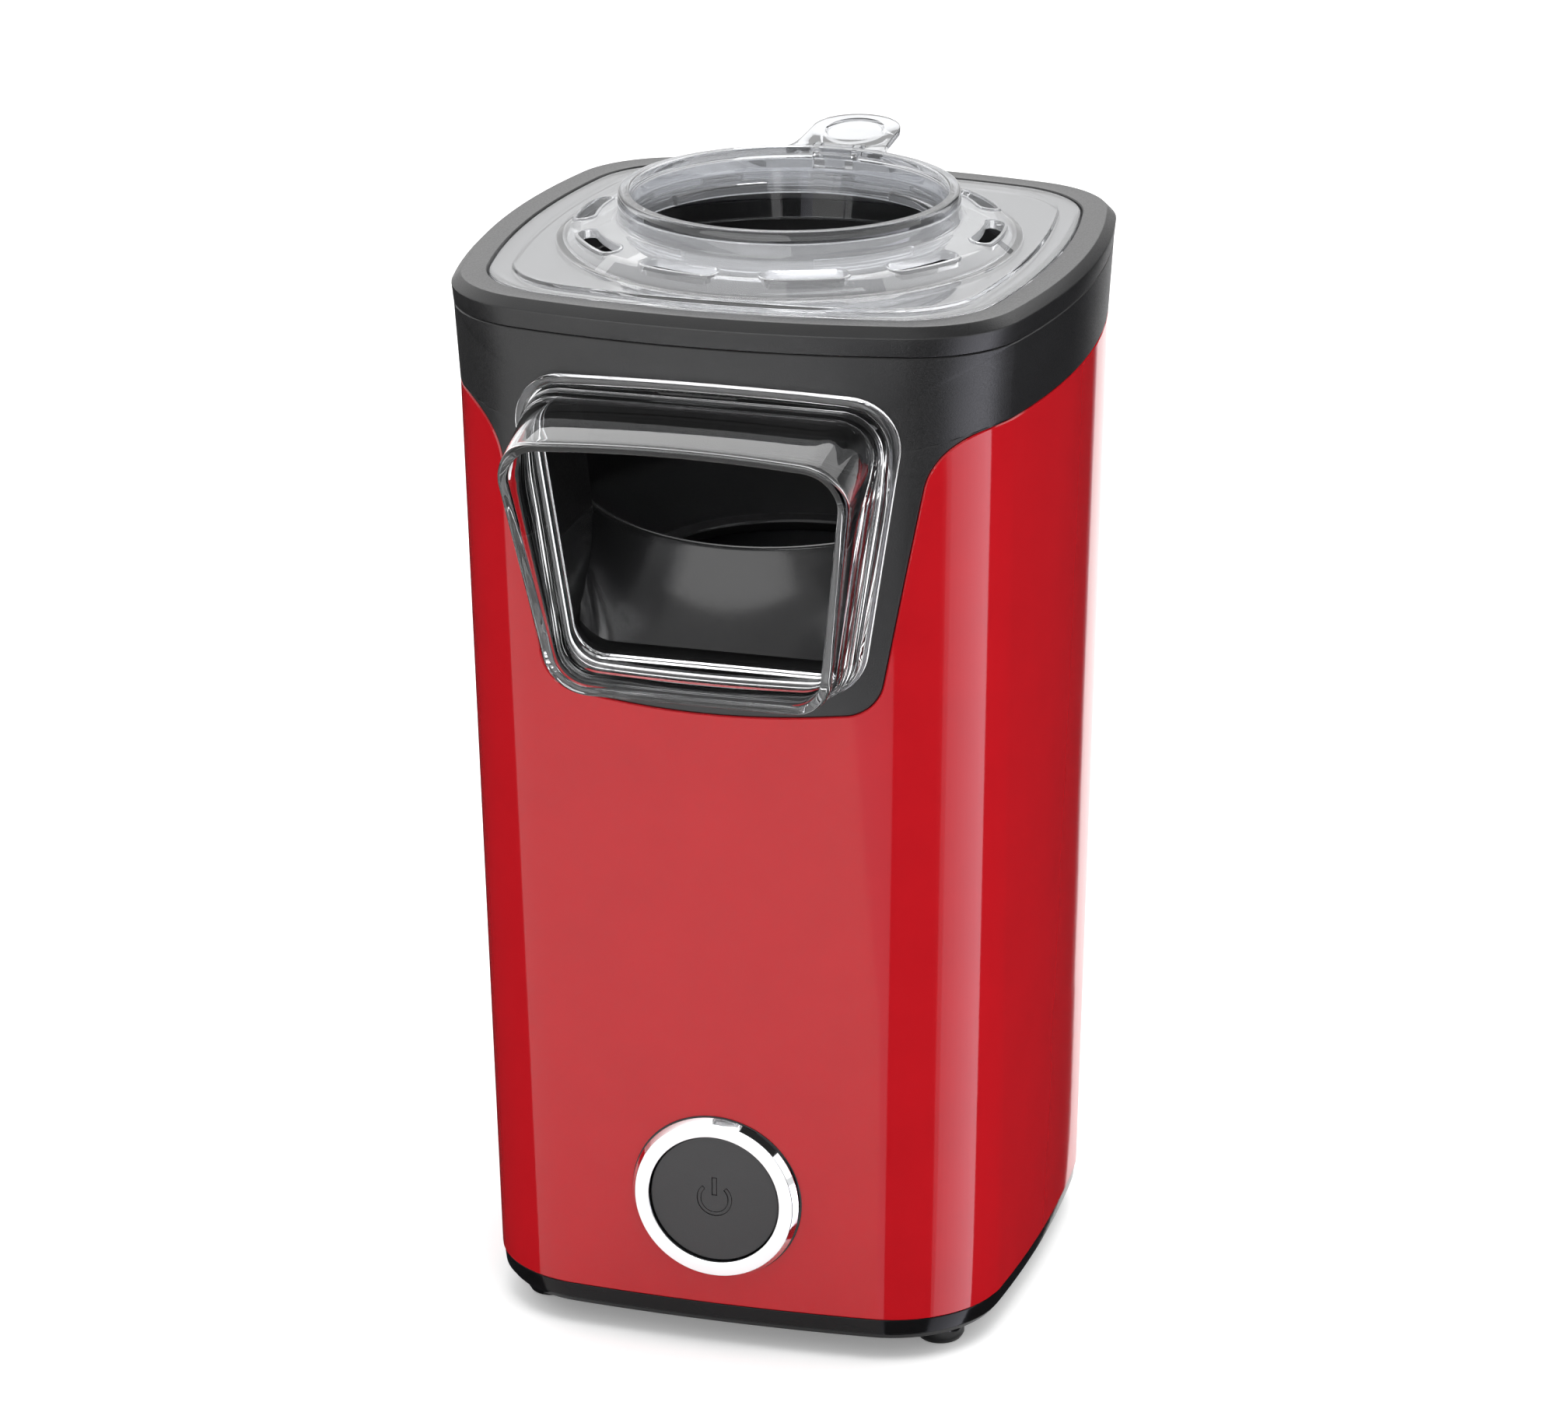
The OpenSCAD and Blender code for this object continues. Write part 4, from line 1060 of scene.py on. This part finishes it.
def make_neck_ring():
    profile = fillet([(RING_IN, 289.6, 0.4), (SLEEVE_R, 289.6, 0.4), (SLEEVE_R, Z_RIM, 0.2),
                      (RIM_R + 0.3, Z_RIM, 0.25), (RIM_R + 0.1, Z_RING_TOP, 1.0),
                      (RIM_IN, Z_RING_TOP, 0.9), (RING_IN, 300.2, 0.8)])
    obj = solid("filling_ring", lathe(profile, 144))
    lug = fillet([(39.9, 290.2, 0.4), (41.9, 290.2, 0), (41.9, 292.8, 0), (39.9, 292.8, 0.6)])
    lugs = []
    for q in range(4):
        angles = spread(radians(90 * q + 25), radians(90 * q + 65), 18)
        lugs.append(loft([[(p * cos(a), p * sin(a), z) for p, z in lug] for a in angles],
                         close=False))
    ear = [(RIM_R - 1.6, HINGE_Z - 1.4), (HINGE_Y - 0.6, HINGE_Z - 1.6)]
    ear += arc(HINGE_Y, HINGE_Z, KNUCKLE_R, -100, 90, 14) + [(RIM_R - 1.6, HINGE_Z + 1.4)]
    ears = [loft([[(x, y, z) for y, z in ear] for x in span], close=False)
            for span in ((-6.3, -4.6), (4.6, 6.3))]
    combine(obj, merge(*lugs, *ears), "UNION")
    bore = rod(0.93, -12, 12, 24, (0, HINGE_Y, HINGE_Z), "x")
    window = prism([(-5.6, 36.5), (5.6, 36.5), (5.6, 43.1), (-5.6, 43.1)], 296.6, 300.0)
    combine(obj, merge(bore, window), "DIFFERENCE")
    clean(obj)
    return obj


def tab_outline(back):
    """The tab seen from above: notched for the hinge, hollowed for the rim, round at its end."""
    notch, round_r, length = 7.1, 12.0, 29.5
    y_end = HINGE_Y + length - round_r
    edge_r = RIM_R + 0.6
    right = [(notch, back, 0.9), (notch, sqrt(edge_r ** 2 - notch ** 2), 0.9)]
    right += [(edge_r * sin(a), edge_r * cos(a), 0) for a in spread(radians(11), radians(16), 3)]
    right += [(13.6, 43.35, 0.7), (14.3, 45.0, 0.7)]
    sweep = [(13.7, 45.9), (12.6, 47.6), (12.2, 50.0), (12.2, 56.0), (round_r, y_end)]
    for t in spread(0, 1, 16):
        pts = sweep
        while len(pts) > 1:
            pts = [(lerp(a[0], b[0], t), lerp(a[1], b[1], t)) for a, b in zip(pts, pts[1:])]
        right.append((*pts[0], 0))
    right += [(round_r * cos(a), y_end + round_r * sin(a), 0) for a in spread(0, pi / 2, 24)[1:]]
    return fillet(right + [(-x, y, r) for x, y, r in right[-2::-1]], 5)


def make_tab():
    tilt, back = radians(3.5), HINGE_Y + KNUCKLE_R + 0.4
    plate = solid("plate", prism(tab_outline(back), HINGE_Z - 1.0, HINGE_Z + 1.0, 0.28))
    y_dish, stretch = HINGE_Y + 16.0, 1.22
    bowl = fillet([(0, HINGE_Z + 0.3, 0), (7.2, HINGE_Z + 0.3, 0.8), (8.2, HINGE_Z + 1.3, 0),
                   (0, HINGE_Z + 1.3, 0)])
    dish, faces = lathe(bowl, 72, (0, y_dish, 0))
    dish = [(x, lerp(y_dish, y, stretch), z) for x, y, z in dish]
    combine(plate, (dish, faces), "DIFFERENCE")
    verts, faces = taken(plate)
    turned = []
    for x, y, z in verts:
        dy, dz = y - HINGE_Y, z - HINGE_Z
        turned.append((x, HINGE_Y + dy * cos(tilt) - dz * sin(tilt),
                       HINGE_Z + dy * sin(tilt) + dz * cos(tilt)))
    obj = solid("thumb_tab", (turned, faces))
    knuckle = lathe(fillet([(0.95, -4.2, 0), (KNUCKLE_R, -4.2, 0.3), (KNUCKLE_R, 4.2, 0.3),
                            (0.95, 4.2, 0)]), 32, (0, HINGE_Y, HINGE_Z), "x")
    half, y0, y1 = 4.1, HINGE_Y + 1.3, back + 1.4
    web = prism([(-half, y0), (half, y0), (half, y1), (-half, y1)], HINGE_Z - 0.75, HINGE_Z + 0.85)
    combine(obj, web, "UNION")
    combine(obj, knuckle, "UNION")
    clean(obj)
    return obj


def make_pin():
    profile = fillet([(0, -6.3, 0), (0.9, -6.3, 0.25), (0.9, 6.3, 0.25), (0, 6.3, 0)])
    return solid("hinge_pin", lathe(profile, 28, (0, HINGE_Y, HINGE_Z), "x"))


# The pieces

dress(make_shell(), RED, "case", "shell")
dress(make_collar(), SATIN, "case", "collar")
dress(make_bezel(), SATIN, "case", "bezel")
dress(make_base(), BASE, "case", "base")
dress(make_feet(), GLOSS, "case", "feet")
# The hood is one black part: its inside is darkened with painted shade, and the upward faces of
# the ramp and crest and the mouth's rim get painted light from the lighter, glossier copy
hood = dress(make_hood(), HOOD_PAINTED_SHADE, "case", "hood")
mark_faces(hood, HOOD_PAINTED_LIGHT, lambda x, y, z: y < -30 and hypot(x, y) > 57.9 and z < Z_CREST + 4,
           lean=(0.1, 1.1))
mark_faces(hood, HOOD_PAINTED_LIGHT, lambda x, y, z: hypot(x, y) < MOUTH_R + 0.6 and z > 197.6)
chute = dress(make_chute(), CLEAR, "case", "chute")
chrome_ring = dress(make_button_ring(), CHROME, "case", "button_ring")
# Painted shadow line: the ring's faces where it meets the case are black gloss, standing in for
# the shade in the gap round the ring
mark_faces(chrome_ring, GLOSS,
           lambda x, y, z: hypot(x, z - BUTTON_Z) > 22.9 and y > front_y(x, z) - 0.4)
dress(make_button(), BUTTON, "push_button", "button")
spring = dress(make_spring(), STEEL, "case", "button_spring")
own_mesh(spring)
lid = dress(make_lid(), LID_CLEAR, "cover", "lid")
mark_faces(lid, PLATE_CLEAR, lambda x, y, z: hypot(x, y) > 61.4)
mark_faces(lid, CLEAR, lambda x, y, z: z < Z_LID - 0.05)
ring = dress(make_neck_ring(), RING_CLEAR, "filling_ring", "neck_ring")
tab = dress(make_tab(), TAB_CLEAR, "thumb_tab", "flip_tab")
dress(make_pin(), STEEL, "filling_ring", "tab_pin")
for piece in (chute, lid, ring, tab):
    piece.visible_shadow = False

FINISH = {
    "base_screws": STEEL, "button_housing": SATIN, "switch": WHITE, "cord_gland": GLOSS,
    "chamber": DARK_ALU, "duct": STEEL, "heater_frame": MICA, "heater_coil": WIRE,
    "thermostat": BRASS, "thermal_fuse": STEEL, "fan": WHITE, "motor_shaft": STEEL,
    "motor": STEEL, "motor_bracket": STEEL, "dampers": RUBBER, "bracket_screws": STEEL,
    "rectifier_board": BOARD,
}
for name, mat in FINISH.items():
    obj = frame["nodes"][name]
    obj.data.materials.clear()
    obj.data.materials.append(mat)


# Studio

def stage_sheet(name, verts, faces, mat):
    mesh = bpy.data.meshes.new(name)
    mesh.from_pydata(metres(verts), [], faces)
    mesh.materials.append(mat)
    obj = new_object(name, mesh)
    return obj


def make_floor():
    half, z, glow = 6000, -0.05, 0.22
    mat, tree, bsdf = new_material("floor")
    bsdf.inputs["Base Color"].default_value = (0.93, 0.93, 0.93, 1)
    bsdf.inputs["Roughness"].default_value = 0.9
    bsdf.inputs["Specular IOR Level"].default_value = 0.0
    path = add(tree, "LightPath")
    seen = math_node(tree, "MAXIMUM", path.outputs["Is Camera Ray"],
                     path.outputs["Is Transmission Ray"])
    bsdf.inputs["Emission Color"].default_value = (1, 1, 1, 1)
    tree.links.new(math_node(tree, "MULTIPLY", seen, glow), bsdf.inputs["Emission Strength"])
    corners = [(-half, -half, z), (half, -half, z), (half, half, z), (-half, half, z)]
    stage_sheet("floor", corners, [[0, 1, 2, 3]], mat)


def ray_fan(rays):
    """Fan on the floor, as points, faces and a grey a point, from rays (x, y, azimuth, grey)."""
    reach, z, step = 1600, 0.3, 6
    fine = []
    for a, b in zip(rays, rays[1:]):
        n = max(1, round((b[2] - a[2]) / step))
        fine += [tuple(lerp(p, q, k / n) for p, q in zip(a, b)) for k in range(n)]
    fine.append(rays[-1])
    verts, greys = [], []
    for x, y, az, grey in fine:
        verts += [(x, y, z), (x + reach * sin(radians(az)), y - reach * cos(radians(az)), z)]
        greys += [grey, grey]
    faces = [[2 * k, 2 * k + 1, 2 * k + 3, 2 * k + 2] for k in range(len(fine) - 1)]
    return verts, faces, greys


def make_cards():
    """Cards that reflections see, the front one also seen through the clear pieces. They give
    the gloss its edges and its lights."""
    dark, floor_blue = 0.02, 1.12
    mat, tree, _ = new_material("card")
    shade = add(tree, "VertexColor", layer_name="shade")
    glow = add(tree, "Emission")
    tree.links.new(shade.outputs["Color"], glow.inputs["Color"])
    tree.links.new(glow.outputs["Emission"], tree.nodes["Material Output"].inputs["Surface"])

    def card(name, verts, faces, greys, blue=1, through=False):
        obj = stage_sheet(name, verts, faces, mat)
        colours = obj.data.color_attributes.new("shade", "FLOAT_COLOR", "POINT")
        for point, grey in zip(colours.data, greys):
            point.color = (grey, grey, grey * blue, 1)
        obj.visible_camera = False
        obj.visible_diffuse = False
        obj.visible_transmission = through
        obj.visible_shadow = False

    def flag(name, corners, grey, through=False):
        card(name, corners, [[0, 1, 2, 3]], [grey] * 4, through=through)

    # Fans on the floor from near the case; the azimuth is from the front to the right
    sectors = (
        ((45, -68, -1.0, 1.0), (45, -68, 6.5, dark), (58, -66, 50.0, dark), (58, -66, 60.0, 1.5),
         (66, -60, 90.0, 2.8), (67, -57, 103.5, 3.3), (67, -57, 105.0, dark),
         (73, 32, 174.5, dark), (73, 32, 176.5, 1.0)),
        ((-73, 32, -165.0, 1.0), (-73, 32, -163.0, dark), (-53, -68, -68.5, dark),
         (-53, -68, -66.5, 1.0)))
    for i, rays in enumerate(sectors):
        card(f"floor_card_{i}", *ray_fan(rays), blue=floor_blue)
    # Cards beside the case: low edge (x, z), high edge (x, z)
    for name, low, high, grey in (("right_card", (900, 640), (-60, 2200), dark),
                                  ("right_light", (910, 150), (910, 640), 1.3),
                                  ("left_light", (-900, 150), (-350, 2200), 1.3)):
        flag(name, [(low[0], -450, low[1]), (low[0], 350, low[1]),
                    (high[0], 350, high[1]), (high[0], -450, high[1])], grey)
    n, r = 8, 1450
    verts = []
    for az in spread(112, 170, n):
        x, y = 73 + r * sin(radians(az)), 32 - r * cos(radians(az))
        verts += [(x, y, 0.4), (x, y, 900)]
    faces = [[2 * k, 2 * k + 2, 2 * k + 3, 2 * k + 1] for k in range(n)]
    card("back_card", verts, faces, [dark] * len(verts))
    flag("front_card", [(-1500, -1500, 15), (480, -1500, 15), (250, -1500, 950),
                        (-1000, -1500, 950)], 2.9, through=True)
    flag("top_light", [(-1900, 500, 1900), (500, 500, 1900), (500, 2600, 1900),
                       (-1900, 2600, 1900)], 3.8)


def make_world():
    """White to the camera; to the rest a plain light, brighter high behind the machine, that is
    dimmed above the horizon for rays through the clear pieces."""
    plain, brighter, dimmed = 0.8, 1.25, 0.5
    world = bpy.data.worlds.new("studio")
    bpy.context.scene.world = world
    world.use_nodes = True
    tree = world.node_tree
    back = tree.nodes["Background"]
    back.inputs["Color"].default_value = (1, 1, 1, 1)
    coord = add(tree, "TexCoord")
    split = add(tree, "SeparateXYZ")
    tree.links.new(coord.outputs["Generated"], split.inputs[0])
    path = add(tree, "LightPath")

    def step(axis, low, high):
        return map_range(tree, split.outputs[axis], (low, high), (0, 1), "SMOOTHSTEP")

    def calc(operation, a, b):
        return math_node(tree, operation, a, b)

    behind = calc("MULTIPLY", step("Y", -0.1, 0.4), step("Z", 0.08, 0.58))
    level = calc("ADD", calc("MULTIPLY", behind, brighter), plain)
    dim = calc("MULTIPLY", step("Z", 0.05, 0.35), path.outputs["Is Transmission Ray"])
    level = calc("MULTIPLY", level, calc("SUBTRACT", 1.0, calc("MULTIPLY", dim, dimmed)))
    level = calc("MAXIMUM", level, path.outputs["Is Camera Ray"])
    tree.links.new(level, back.inputs["Strength"])


def area_light(name, at, aim, size, watts):
    data = bpy.data.lights.new(name, "AREA")
    data.shape = "RECTANGLE"
    data.size, data.size_y = size
    data.energy = watts
    obj = new_object(name, data)
    obj.location = at
    obj.rotation_euler = (Vector(aim) - Vector(at)).to_track_quat("-Z", "Y").to_euler()
    obj.visible_glossy = False


make_floor()
make_cards()
make_world()
area_light("overhead", at=(0.35, -0.45, 1.5), aim=(0, 0, 0.15), size=(0.9, 0.7), watts=9)
bpy.context.scene.view_settings.view_transform = "Standard"
